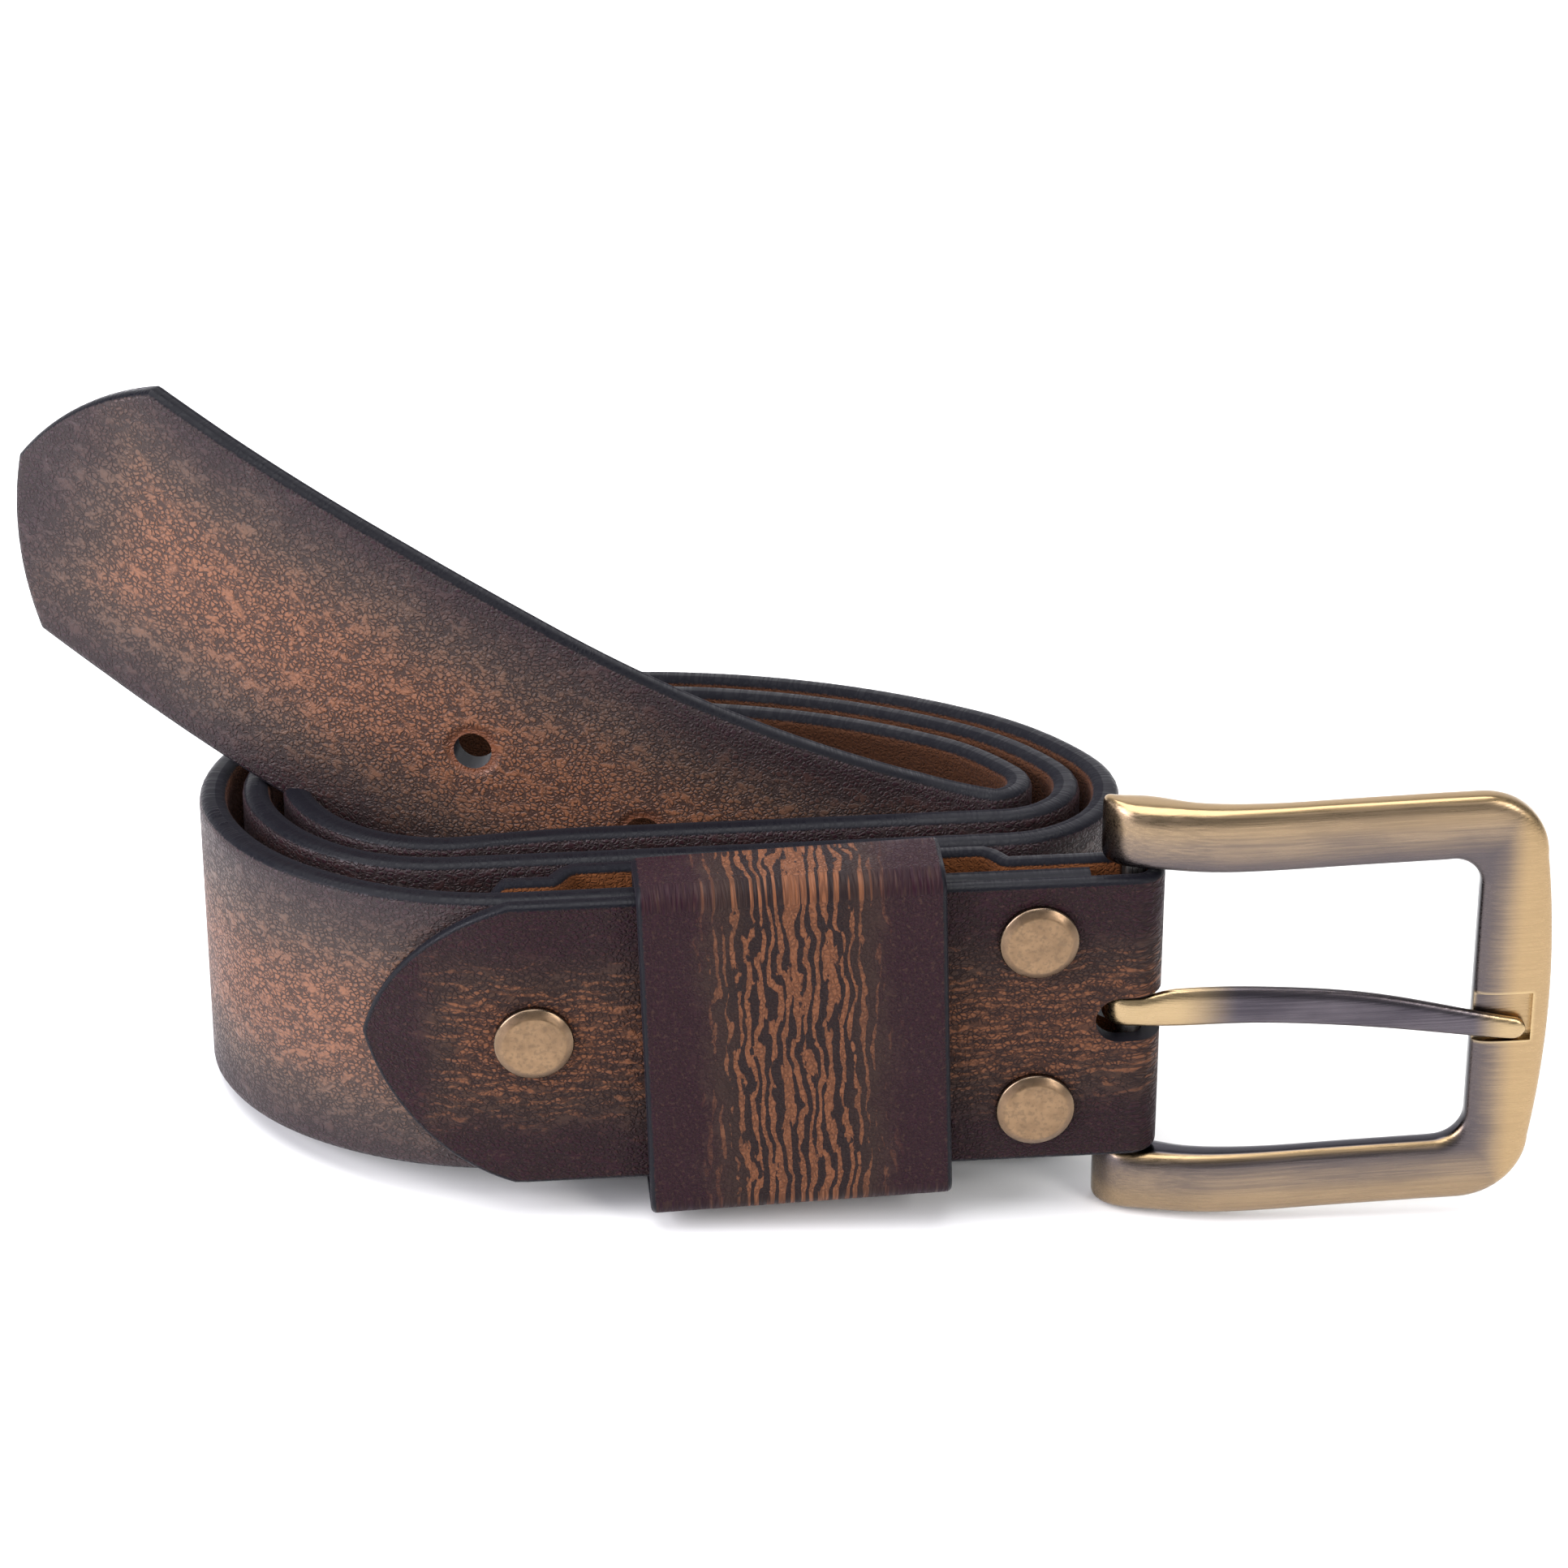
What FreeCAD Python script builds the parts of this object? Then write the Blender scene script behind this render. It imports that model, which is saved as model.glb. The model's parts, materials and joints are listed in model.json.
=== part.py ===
"""Leather belt with a prong buckle, coiled and standing on its edge.

The belt is laid out in its own frame, in millimetres: the buckle's bar is the vertical line
x = 0, y = 0, the strap runs straight from it towards -X and then coils clockwise, +Y is the
inside of the coil, and the strap's lower edge is z = 0. The whole belt is then tilted and
shifted, so that it rests on the buckle's lower end and the coil's edge, with the floor at z = 0.
"""
import FreeCAD, Part
import math
import os
from FreeCAD import Placement, Rotation, Vector

# Strap
STRAP_WIDTH = 40.0
STRAP_THICKNESS = 3.6
STRAP_BEVEL = 0.8
STRAP_END_X = -5.5          # the blunt end, inside the folded tab
RUN_END_X = -78.0           # where the straight run becomes the coil

# Coil, as (length, clockwise turn in degrees) of tangent arcs in plan. One lap is a loose oval.
LAP = [
    (30.5, 40.5), (16.5, 30.0), (21.0, 57.0), (18.5, 33.5),     # front left, left bend
    (60.5, 37.0), (25.5, 15.5), (19.0, 26.5),                   # back, from left to right
    (17.5, 76.0), (11.5, 44.0),                                 # right bend
]
LAP_RETURN = (53.0, 0.0)    # straight stretch behind the tab, which closes a lap
LEAD_IN = 2                 # arcs of a lap that an inner lap replaces by its own way in
SECOND_LAP_WAY_IN = [(18.5, 0.0), (31.0, 70.5)]
SECOND_LAP_INSET = 5.3      # how far the second lap lies inside the first
THIRD_LAP_WAY_IN = [(15.5, -7.5), (28.0, 78.0)]
THIRD_LAP_INSET = 10.3
THIRD_LAP_ARCS = 3          # arcs of the third lap before the strap turns up into its free end

# Free end: it turns back inside the coil, then climbs over the coil's left side
FREE_END = [
    (22.0, 15.5), (12.7, 26.5), (11.0, 130.0), (14.0, -13.0),   # back, then inner right bend
    (31.0, 10.5), (39.0, 12.5), (23.0, 10.5), (22.3, 6.8),      # across the coil, to the left
]
CLIMB = [   # (distance in plan, degrees)
    (0.0, 0.0), (30.0, 0.0), (46.0, 6.0), (62.0, 20.6), (110.0, 28.8), (178.0, 23.6),
]
END_ROLL = 7.5              # degrees by which the free end's upper edge leans back at its tip
SADDLE_FROM_TIP = (36.0, 66.0)      # where the free end lies in a shallow saddle in the laps' edges
SADDLE_DEPTH = 5.0
SADDLE_CLEARANCE = 0.3
TIP_POINT_LENGTH = 13.0
TIP_BEND = 0.38             # share of the point's length at which
TIP_BLUNTNESS = 0.56        # its half width is this share of the strap's
HOLE_COUNT = 5
HOLE_PITCH = 24.5
HOLE_RADIUS = 2.5
FIRST_HOLE_FROM_TIP = 71.0

# Tab: a separate leather piece folded round the bar, with the strap's end between its layers
TAB_WIDTH = 41.0
TAB_THICKNESS = 2.3
TAB_TIP_THICKNESS = 1.0     # the front layer is skived towards its point
TAB_POINT_X = -98.0
TAB_SHOULDER_X = -79.5
TAB_BLUNTNESS = 0.56        # share of the half width, 0.3 of the way back along the point
TAB_REAR_POINT_X = -88.0
TAB_REAR_SHOULDER_X = -80.0
BULGE_LEFT_X = -70.5        # between the rivets the rear layer stands off, round the keeper
BULGE_RIGHT_X = -19.0
BULGE_RAMP = 3.0
SLOT_END_X = -4.8
SLOT_WIDTH = 6.4

# Keeper: a wide closed leather loop round the strap and the tab's front layer
KEEPER_LENGTH = 39.0
KEEPER_CENTRE_X = -43.4
KEEPER_CENTRE_Z = 19.7
KEEPER_THICKNESS = 2.3
KEEPER_CLEARANCE = 0.35     # behind the strap
KEEPER_FRONT_CLEARANCE = 0.9
KEEPER_INNER_HEIGHT = 43.6
KEEPER_CORNER = 2.6
KEEPER_LEAN = -1.7          # degrees about Y, as it hangs on the strap
KEEPER_SEAM = 0.2
STAPLE_WIRE = 0.6
STAPLE_SPAN = 8.0
STAPLE_OFFSET = 11.0

# Rivets: a flat cap in front, a stud behind
RIVET_HEAD_RADIUS = 5.15
RIVET_FLAT_RADIUS = 4.0
RIVET_HEAD_HEIGHT = 1.5
RIVET_SHANK_RADIUS = 1.3
STUD_RADIUS = 1.9
STUD_FLANGE_RADIUS = 3.2
STUD_FLANGE_HEIGHT = 0.8
LEFT_RIVET_X = -76.7
LEFT_RIVET_RISE = 1.0
RIGHT_RIVET_X = -12.4
RIGHT_RIVET_SPREAD = 24.8

# Buckle
BAR_RADIUS = 1.7
FRAME_HEIGHT = 60.0
WINDOW_HEIGHT = 42.0
FRAME_LEFT_X = -3.8
WINDOW_RIGHT_X = 44.4
FRAME_RIGHT_X = 54.5
FRAME_SHOULDER_X = 53.0     # the post's outer side, at the top and bottom corners
FRAME_CORNER = 9.0
WINDOW_CORNER = 4.0
FRAME_ROUNDING = 0.9
NOTCH_WIDTH = 7.0
NOTCH_END_X = 52.0
NOTCH_DEPTH = 1.2
NOTCH_DROP = 2.3            # the notch lies this far below the buckle's middle

# Prong
PRONG_EYE_RADIUS = 1.8
PRONG_EYE_OUTER_RADIUS = 3.6
PRONG_EYE_WIDTH = 4.2
PRONG_RISE = 0.5            # the eye's middle above the buckle's middle
PRONG_ARM = [(5.6, 1.05, 5.3), (17.0, 1.1, 5.2), (31.0, -0.3, 4.9), (49.3, -3.9, 3.2)]  # x, middle, width
PRONG_TIP_X = 51.3

# Rest: how the belt leans on a floor, and where the floor is
LEAN_ABOUT_X = -5.1         # degrees: backwards
LEAN_ABOUT_Y = -3.1         # degrees: to the left

MIDDLE_Z = STRAP_WIDTH / 2
STRAP_HALF = STRAP_THICKNESS / 2
TAB_FACE = STRAP_HALF + TAB_THICKNESS
UP = Vector(0, 0, 1)


# Curves and solids

def line(a, b):
    return Part.LineSegment(a, b).toShape()


def arc(a, middle, b):
    return Part.Arc(a, middle, b).toShape()


def spline(points):
    curve = Part.BSplineCurve()
    curve.interpolate(points)
    return curve.toShape()


def s_curve(a, b):
    """An S-shaped curve between two points, level in x at both ends."""
    middle = (a.x + b.x) / 2
    curve = Part.BezierCurve()
    curve.setPoles([a, Vector(middle, a.y, a.z), Vector(middle, b.y, b.z), b])
    return curve.toShape()


def face_of(*edges):
    return Part.Face(Part.Wire(Part.__sortEdges__(list(edges))))


def plan_prism(z_low, z_high, *edges):
    """Extrude a closed plan outline, drawn at z = 0, between two heights."""
    face = face_of(*edges)
    face.translate(UP * z_low)
    return face.extrude(UP * (z_high - z_low))


def side_prism(y_front, y_back, *edges):
    """Extrude a closed outline in the XZ plane, drawn at y = 0, between two depths."""
    face = face_of(*edges)
    face.translate(Vector(0, y_front, 0))
    return face.extrude(Vector(0, y_back - y_front, 0))


def cylinder_y(radius, x, z, y_front, y_back):
    return Part.makeCylinder(radius, y_back - y_front, Vector(x, y_front, z), Vector(0, 1, 0))


def fuse(shapes):
    return shapes[0].multiFuse(shapes[1:]).removeSplitter()


# Strap

def tangent(heading):
    return Vector(math.cos(heading), math.sin(heading), 0)


def outward(heading):
    return Vector(-math.sin(heading), math.cos(heading), 0)


def inset(arcs, distance):
    """The same arcs drawn closer to their centres by a distance."""
    return [(length - distance * math.radians(turn), turn) for length, turn in arcs]


def coil_arcs():
    second = SECOND_LAP_WAY_IN + inset(LAP[LEAD_IN:], SECOND_LAP_INSET) + [LAP_RETURN]
    third = THIRD_LAP_WAY_IN + inset(LAP[LEAD_IN:LEAD_IN + THIRD_LAP_ARCS], THIRD_LAP_INSET)
    return LAP + [LAP_RETURN] + second + third


def along(point, heading, length, turn, distance):
    """The plan point and heading after a distance along one arc or straight."""
    if turn == 0:
        return point + tangent(heading) * distance, heading
    radius = length / math.radians(turn)
    centre = point - outward(heading) * radius
    new_heading = heading - distance / radius
    return centre + outward(new_heading) * radius, new_heading


def strap_section(middle, normal, across):
    """The strap's cross-section, a rectangle with bevelled corners, as a wire."""
    half_width = STRAP_WIDTH / 2
    quarter = [(STRAP_HALF, half_width - STRAP_BEVEL), (STRAP_HALF - STRAP_BEVEL, half_width)]
    outline = quarter
    outline = outline + [(-depth, height) for depth, height in reversed(quarter)]
    outline = outline + [(-depth, -height) for depth, height in outline]
    points = [middle + normal * depth + across * height for depth, height in outline]
    return Part.makePolygon(points + points[:1])


def flat_piece(point, heading, length, turn):
    """One arc or straight of the strap while it stands upright."""
    middle = point + UP * MIDDLE_Z
    face = Part.Face(strap_section(middle, outward(heading), UP))
    if turn == 0:
        return face.extrude(tangent(heading) * length)
    centre = point - outward(heading) * (length / math.radians(turn))
    axis = UP * -1 if turn > 0 else UP
    return face.revolve(centre, axis, abs(turn))


def climb_angle(distance):
    for (start, low), (end, high) in zip(CLIMB, CLIMB[1:]):
        if distance <= end:
            return math.radians(low + (high - low) * (distance - start) / (end - start))
    return math.radians(CLIMB[-1][1])


def free_end_frames(point, heading):
    """Frames along the climbing end: middle, normal, across, length so far."""
    height = MIDDLE_Z
    plan_length = 0.0
    length = 0.0
    whole = sum(arc_length for arc_length, turn in FREE_END)
    frames = [(point + UP * height, outward(heading), UP, 0.0)]
    for arc_length, turn in FREE_END:
        steps = math.ceil(max(arc_length / 5, abs(turn) / 12))
        step = arc_length / steps
        for index in range(1, steps + 1):
            place, direction = along(point, heading, arc_length, turn, index * step)
            angle = climb_angle(plan_length + step / 2)
            plan_length += step
            height += step * math.tan(angle)
            length += step / math.cos(angle)
            rise = climb_angle(plan_length)
            roll = math.radians(END_ROLL) * (plan_length / whole) ** 2
            upright = UP * math.cos(rise) - tangent(direction) * math.sin(rise)
            across = upright * math.cos(roll) - outward(direction) * math.sin(roll)
            normal = outward(direction) * math.cos(roll) + upright * math.sin(roll)
            frames.append((place + UP * height, normal, across, length))
        point, heading = along(point, heading, arc_length, turn, arc_length)
    return frames


def frame_at(frames, length):
    """The frame at a length along the climbing end, between two of its frames."""
    for first, second in zip(frames, frames[1:]):
        if length <= second[3]:
            share = (length - first[3]) / (second[3] - first[3])
            return [a + (b - a) * share for a, b in zip(first[:3], second[:3])]
    return frames[-1][:3]


def tip_waste(middle, normal, across):
    """What is cut away round the strap's blunt point, whose apex is at middle."""
    behind = across.cross(normal).normalize()
    if behind.x < 0:
        behind = behind * -1
    half = STRAP_WIDTH / 2
    reach = 3 * STRAP_THICKNESS
    margin = 2.0

    def at(back, up):
        return middle + behind * back + across * up - normal * reach

    shoulder = TIP_POINT_LENGTH
    sides = [arc(at(shoulder, side * half), at(TIP_BEND * shoulder, side * TIP_BLUNTNESS * half), at(0, 0))
             for side in (1, -1)]
    corners = [at(shoulder, half), at(shoulder, half + margin), at(-margin, half + margin),
               at(-margin, -half - margin), at(shoulder, -half - margin), at(shoulder, -half)]
    rim = [line(start, end) for start, end in zip(corners, corners[1:])]
    return face_of(*sides, *rim).extrude(normal * (2 * reach))


def saddle(frames, length):
    """What the laps' upper edges lose where the free end lies across them."""
    far, near = (frame_at(frames, length - from_tip) for from_tip in reversed(SADDLE_FROM_TIP))
    edges = [middle - across * (STRAP_WIDTH / 2) for middle, normal, across in (far, near)]
    forwards = (edges[1] - edges[0]).normalize()
    normal = (far[1] + near[1]).normalize()
    upwards = normal.cross(forwards).normalize()
    if upwards.z < 0:
        upwards = upwards * -1
    corner = edges[0] - upwards * SADDLE_CLEARANCE
    reach = STRAP_HALF + 3 * SADDLE_CLEARANCE
    corners = [corner - normal * reach, corner + normal * reach]
    corners += [corners[1] + upwards * SADDLE_DEPTH, corners[0] + upwards * SADDLE_DEPTH]
    end = Part.Face(Part.makePolygon(corners + corners[:1]))
    return end.extrude(edges[1] - edges[0])


def hole(middle, normal):
    return Part.makeCylinder(HOLE_RADIUS, 2 * STRAP_THICKNESS, middle - normal * STRAP_THICKNESS, normal)


def strap():
    point = Vector(STRAP_END_X, 0, 0)
    heading = math.pi
    pieces = []
    for length, turn in [(STRAP_END_X - RUN_END_X, 0)] + coil_arcs():
        pieces.append(flat_piece(point, heading, length, turn))
        point, heading = along(point, heading, length, turn, length)
    coil = fuse(pieces)
    frames = free_end_frames(point, heading)
    free_end = Part.makeLoft([strap_section(*frame[:3]) for frame in frames], True, True)
    total = frames[-1][3]
    free_end = free_end.cut(tip_waste(*frame_at(frames, total)))
    for number in range(HOLE_COUNT):
        place = frame_at(frames, total - FIRST_HOLE_FROM_TIP - number * HOLE_PITCH)
        free_end = free_end.cut(hole(*place[:2]))
    return coil.cut(saddle(frames, total)).fuse(free_end)


# Tab

def curve_centre():
    """Centre of the coil's first arc, which the tab's ends follow."""
    return Vector(RUN_END_X, LAP[0][0] / math.radians(LAP[0][1]), 0)


def round_curve(x, offset):
    """The plan point at x, a distance outside the strap's middle line, on that first arc."""
    centre = curve_centre()
    radius = centre.y + offset
    return Vector(x, centre.y - math.sqrt(radius ** 2 - (x - centre.x) ** 2), 0)


def point_outline(point_x, shoulder_x, right_x):
    """Outline of a pointed leather end in the XZ plane."""
    half = TAB_WIDTH / 2
    bend_x = point_x + 0.3 * (shoulder_x - point_x)
    apex = Vector(point_x, 0, MIDDLE_Z)
    edges = []
    for side in (1, -1):
        shoulder = Vector(shoulder_x, 0, MIDDLE_Z + side * half)
        bend = Vector(bend_x, 0, MIDDLE_Z + side * half * TAB_BLUNTNESS)
        corner = Vector(right_x, 0, MIDDLE_Z + side * half)
        edges += [arc(apex, bend, shoulder), line(shoulder, corner)]
    return edges + [line(Vector(right_x, 0, MIDDLE_Z + half), Vector(right_x, 0, MIDDLE_Z - half))]


def tab_front():
    inner_end = round_curve(TAB_POINT_X, STRAP_HALF)
    outer_end = round_curve(TAB_POINT_X, STRAP_HALF + TAB_TIP_THICKNESS)
    middle_x = (RUN_END_X + TAB_POINT_X) / 2
    middle_thickness = (TAB_THICKNESS + TAB_TIP_THICKNESS) / 2
    start_inner = Vector(RUN_END_X, -STRAP_HALF, 0)
    start_outer = Vector(RUN_END_X, -TAB_FACE, 0)
    fold_inner = Vector(0, -STRAP_HALF, 0)
    fold_outer = Vector(0, -TAB_FACE, 0)
    layer = plan_prism(
        MIDDLE_Z - TAB_WIDTH / 2, MIDDLE_Z + TAB_WIDTH / 2,
        arc(inner_end, round_curve(middle_x, STRAP_HALF), start_inner),
        line(start_inner, fold_inner),
        line(fold_inner, fold_outer),
        line(fold_outer, start_outer),
        arc(start_outer, round_curve(middle_x, STRAP_HALF + middle_thickness), outer_end),
        line(outer_end, inner_end))
    outline = side_prism(-20, 20, *point_outline(TAB_POINT_X, TAB_SHOULDER_X, 1.0))
    return layer.common(outline)


def tab_rear():
    stand_off = KEEPER_THICKNESS + 2 * KEEPER_CLEARANCE

    def surface(depth):
        """Edges along the rear layer at a depth behind the strap, from the point to the bar."""
        level = STRAP_HALF + depth
        far = STRAP_HALF + stand_off + depth
        end = round_curve(TAB_REAR_POINT_X, -level)
        bend = round_curve((TAB_REAR_POINT_X + RUN_END_X) / 2, -level)
        points = [Vector(RUN_END_X, level, 0), Vector(BULGE_LEFT_X - BULGE_RAMP, level, 0),
                  Vector(BULGE_LEFT_X, far, 0), Vector(BULGE_RIGHT_X, far, 0),
                  Vector(BULGE_RIGHT_X + BULGE_RAMP, level, 0), Vector(0, level, 0)]
        edges = [arc(end, bend, points[0])]
        for index, join in enumerate((line, s_curve, line, s_curve, line)):
            edges.append(join(points[index], points[index + 1]))
        return end, points[-1], edges

    inner_start, inner_end, inner_edges = surface(0)
    outer_start, outer_end, outer_edges = surface(TAB_THICKNESS)
    layer = plan_prism(
        MIDDLE_Z - TAB_WIDTH / 2, MIDDLE_Z + TAB_WIDTH / 2,
        line(inner_start, outer_start), line(inner_end, outer_end), *inner_edges, *outer_edges)
    outline = side_prism(-20, 20, *point_outline(TAB_REAR_POINT_X, TAB_REAR_SHOULDER_X, 1.0))
    return layer.common(outline)


def buckle_tab():
    low = MIDDLE_Z - TAB_WIDTH / 2
    fold = Part.makeCylinder(TAB_FACE, TAB_WIDTH, Vector(0, 0, low), UP)
    fold = fold.cut(Part.makeCylinder(STRAP_HALF, TAB_WIDTH, Vector(0, 0, low), UP))
    fold = fold.cut(Part.makeBox(10, 20, TAB_WIDTH, Vector(-10, -10, low)))
    tab = fuse([tab_front(), fold, tab_rear()])
    radius = SLOT_WIDTH / 2
    round_x = SLOT_END_X + radius
    tab = tab.cut(cylinder_y(radius, round_x, MIDDLE_Z, -10, 10))
    slot = Part.makeBox(10 - round_x, 20, SLOT_WIDTH, Vector(round_x, -10, MIDDLE_Z - radius))
    tab = tab.cut(slot)
    for x, z in rivet_places():
        tab = tab.cut(cylinder_y(STUD_RADIUS, x, z, -10, 10)).cut(rivet_stud(x, z))
    return tab


# Keeper

def keeper_depths():
    """Front and back of the keeper's inside, in y."""
    return -TAB_FACE - KEEPER_FRONT_CLEARANCE, STRAP_HALF + KEEPER_CLEARANCE


def rounded_block(front, back, height, radius):
    left = KEEPER_CENTRE_X - KEEPER_LENGTH / 2
    corner = Vector(left, front, KEEPER_CENTRE_Z - height / 2)
    block = Part.makeBox(KEEPER_LENGTH, back - front, height, corner)
    long_edges = [edge for edge in block.Edges if abs(edge.tangentAt(edge.FirstParameter).x) > 0.9]
    return block.makeFillet(radius, long_edges)


def lean(shape):
    """Turn a piece of the keeper with it, as it hangs on the strap."""
    return shape.rotate(Vector(KEEPER_CENTRE_X, 0, KEEPER_CENTRE_Z), Vector(0, 1, 0), KEEPER_LEAN)


def staple(x):
    back = keeper_depths()[1] + KEEPER_THICKNESS
    leg = KEEPER_THICKNESS - 0.5
    half = STAPLE_SPAN / 2
    crown = Part.makeBox(STAPLE_WIRE, STAPLE_WIRE, STAPLE_SPAN,
                         Vector(x - STAPLE_WIRE / 2, back - STAPLE_WIRE, KEEPER_CENTRE_Z - half))
    legs = [Part.makeBox(STAPLE_WIRE, leg, STAPLE_WIRE,
                         Vector(x - STAPLE_WIRE / 2, back - leg, KEEPER_CENTRE_Z + end - STAPLE_WIRE / 2))
            for end in (-half + STAPLE_WIRE / 2, half - STAPLE_WIRE / 2)]
    return fuse([crown] + legs)


def keeper_staples():
    return [staple(KEEPER_CENTRE_X + side * STAPLE_OFFSET) for side in (-1, 1)]


def keeper_loop():
    front, back = keeper_depths()
    outer = rounded_block(front - KEEPER_THICKNESS, back + KEEPER_THICKNESS,
                          KEEPER_INNER_HEIGHT + 2 * KEEPER_THICKNESS, KEEPER_CORNER)
    loop = outer.cut(rounded_block(front, back, KEEPER_INNER_HEIGHT, KEEPER_CORNER - KEEPER_THICKNESS))
    seam = Part.makeBox(2 * KEEPER_LENGTH, KEEPER_THICKNESS + 2, KEEPER_SEAM,
                        Vector(KEEPER_CENTRE_X - KEEPER_LENGTH, back - 1, KEEPER_CENTRE_Z - KEEPER_SEAM / 2))
    loop = loop.cut(seam)
    for piece in keeper_staples():
        loop = loop.cut(piece)
    return loop


# Rivets

def rivet_places():
    return [(LEFT_RIVET_X, MIDDLE_Z + LEFT_RIVET_RISE),
            (RIGHT_RIVET_X, MIDDLE_Z + RIGHT_RIVET_SPREAD / 2),
            (RIGHT_RIVET_X, MIDDLE_Z - RIGHT_RIVET_SPREAD / 2)]


def rivet_cap(x, z):
    bevel = RIVET_HEAD_RADIUS - RIVET_FLAT_RADIUS
    rim = RIVET_HEAD_HEIGHT - 0.6 * bevel
    disc = cylinder_y(RIVET_HEAD_RADIUS, x, z, -TAB_FACE - rim, -TAB_FACE)
    top = Part.makeCone(RIVET_HEAD_RADIUS, RIVET_FLAT_RADIUS, RIVET_HEAD_HEIGHT - rim,
                        Vector(x, -TAB_FACE - rim, z), Vector(0, -1, 0))
    shank = cylinder_y(RIVET_SHANK_RADIUS, x, z, -TAB_FACE, STRAP_HALF)
    return fuse([disc, top, shank])


def rivet_stud(x, z):
    flange = cylinder_y(STUD_FLANGE_RADIUS, x, z, TAB_FACE, TAB_FACE + STUD_FLANGE_HEIGHT)
    post = cylinder_y(STUD_RADIUS, x, z, -TAB_FACE, TAB_FACE)
    bore = cylinder_y(RIVET_SHANK_RADIUS, x, z, -TAB_FACE, STRAP_HALF)
    return fuse([flange, post.cut(bore)])


# Buckle

def frame_outline():
    """The frame's U shape in the XZ plane: two arms and a post, open towards the bar."""
    def at(x, z):
        return Vector(x, 0, MIDDLE_Z + z)

    top = FRAME_HEIGHT / 2
    window = WINDOW_HEIGHT / 2
    corner_x = FRAME_SHOULDER_X - FRAME_CORNER
    slope = FRAME_CORNER * (1 - math.sqrt(0.5))
    inner_x = WINDOW_RIGHT_X - WINDOW_CORNER
    inner_slope = WINDOW_CORNER * (1 - math.sqrt(0.5))
    edges = [line(at(FRAME_LEFT_X, top), at(FRAME_LEFT_X, window)),
             line(at(FRAME_LEFT_X, -top), at(FRAME_LEFT_X, -window)),
             arc(at(FRAME_SHOULDER_X, top - FRAME_CORNER), at(FRAME_RIGHT_X, 0),
                 at(FRAME_SHOULDER_X, FRAME_CORNER - top)),
             line(at(WINDOW_RIGHT_X, window - WINDOW_CORNER), at(WINDOW_RIGHT_X, WINDOW_CORNER - window))]
    for side in (1, -1):
        edges += [
            line(at(FRAME_LEFT_X, side * top), at(corner_x, side * top)),
            arc(at(corner_x, side * top), at(FRAME_SHOULDER_X - slope, side * (top - slope)),
                at(FRAME_SHOULDER_X, side * (top - FRAME_CORNER))),
            line(at(FRAME_LEFT_X, side * window), at(inner_x, side * window)),
            arc(at(inner_x, side * window),
                at(WINDOW_RIGHT_X - inner_slope, side * (window - inner_slope)),
                at(WINDOW_RIGHT_X, side * (window - WINDOW_CORNER)))]
    return edges


def frame_bow():
    """The frame's side view in plan: both arms bow forwards between the bar and the post."""
    front = [Vector(FRAME_LEFT_X, 0.6, 0), Vector(-1.5, -2.6, 0), Vector(4, -4.3, 0), Vector(12, -5.3, 0),
             Vector(27, -4.8, 0), Vector(42, -4.3, 0), Vector(FRAME_RIGHT_X + 0.5, -4.0, 0)]
    back = [Vector(FRAME_LEFT_X, 2.8, 0), Vector(1.5, 2.7, 0), Vector(8, -0.2, 0), Vector(17, -1.3, 0),
            Vector(30, -0.8, 0), Vector(42, -0.3, 0), Vector(FRAME_RIGHT_X + 0.5, 0.0, 0)]
    return [spline(front), spline(back), line(front[0], back[0]), line(front[-1], back[-1])]


def buckle_frame():
    flat = side_prism(-10, 10, *frame_outline())
    bow = plan_prism(-20, 60, *frame_bow())
    frame = flat.common(bow)
    frame = frame.makeFillet(FRAME_ROUNDING, frame.Edges)
    notch = Part.makeBox(NOTCH_END_X - WINDOW_RIGHT_X + 1, 10, NOTCH_WIDTH,
                         Vector(WINDOW_RIGHT_X - 1, -14 + NOTCH_DEPTH,
                                MIDDLE_Z - NOTCH_DROP - NOTCH_WIDTH / 2))
    frame = frame.cut(notch)
    return frame.cut(heel_bar())


def heel_bar():
    reach = FRAME_HEIGHT / 2 - 2.0
    return Part.makeCylinder(BAR_RADIUS, 2 * reach, Vector(0, 0, MIDDLE_Z - reach), UP)


def prong_outline():
    """The prong as seen from the front, from the bar to its rounded tip."""
    def at(x, z):
        return Vector(x, 0, MIDDLE_Z + z)

    low = PRONG_RISE - PRONG_EYE_WIDTH / 2
    high = PRONG_RISE + PRONG_EYE_WIDTH / 2
    neck_x = TAB_FACE + 0.2
    lower = [at(x, middle - width / 2) for x, middle, width in PRONG_ARM]
    upper = [at(x, middle + width / 2) for x, middle, width in PRONG_ARM]
    tip = at(PRONG_TIP_X, PRONG_ARM[-1][1])
    return [line(at(0, high), at(0, low)),
            line(at(0, low), at(neck_x, low)), s_curve(at(neck_x, low), lower[0]), spline(lower),
            line(at(0, high), at(neck_x, high)), s_curve(at(neck_x, high), upper[0]), spline(upper),
            arc(lower[-1], tip, upper[-1])]


def prong_bow():
    """The prong's side view in plan: it bows a little forwards and its tip lies in the notch."""
    front = [Vector(0, -PRONG_EYE_OUTER_RADIUS, 0), Vector(6, -4.2, 0), Vector(18, -4.7, 0),
             Vector(34, -4.8, 0), Vector(PRONG_TIP_X + 1, -4.5, 0)]
    back = [Vector(0, -1.9, 0), Vector(6, -2.2, 0), Vector(18, -2.6, 0),
            Vector(34, -2.9, 0), Vector(46, -3.1, 0), Vector(PRONG_TIP_X + 1, -3.1, 0)]
    return [spline(front), spline(back), line(front[0], back[0]), line(front[-1], back[-1])]


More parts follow.
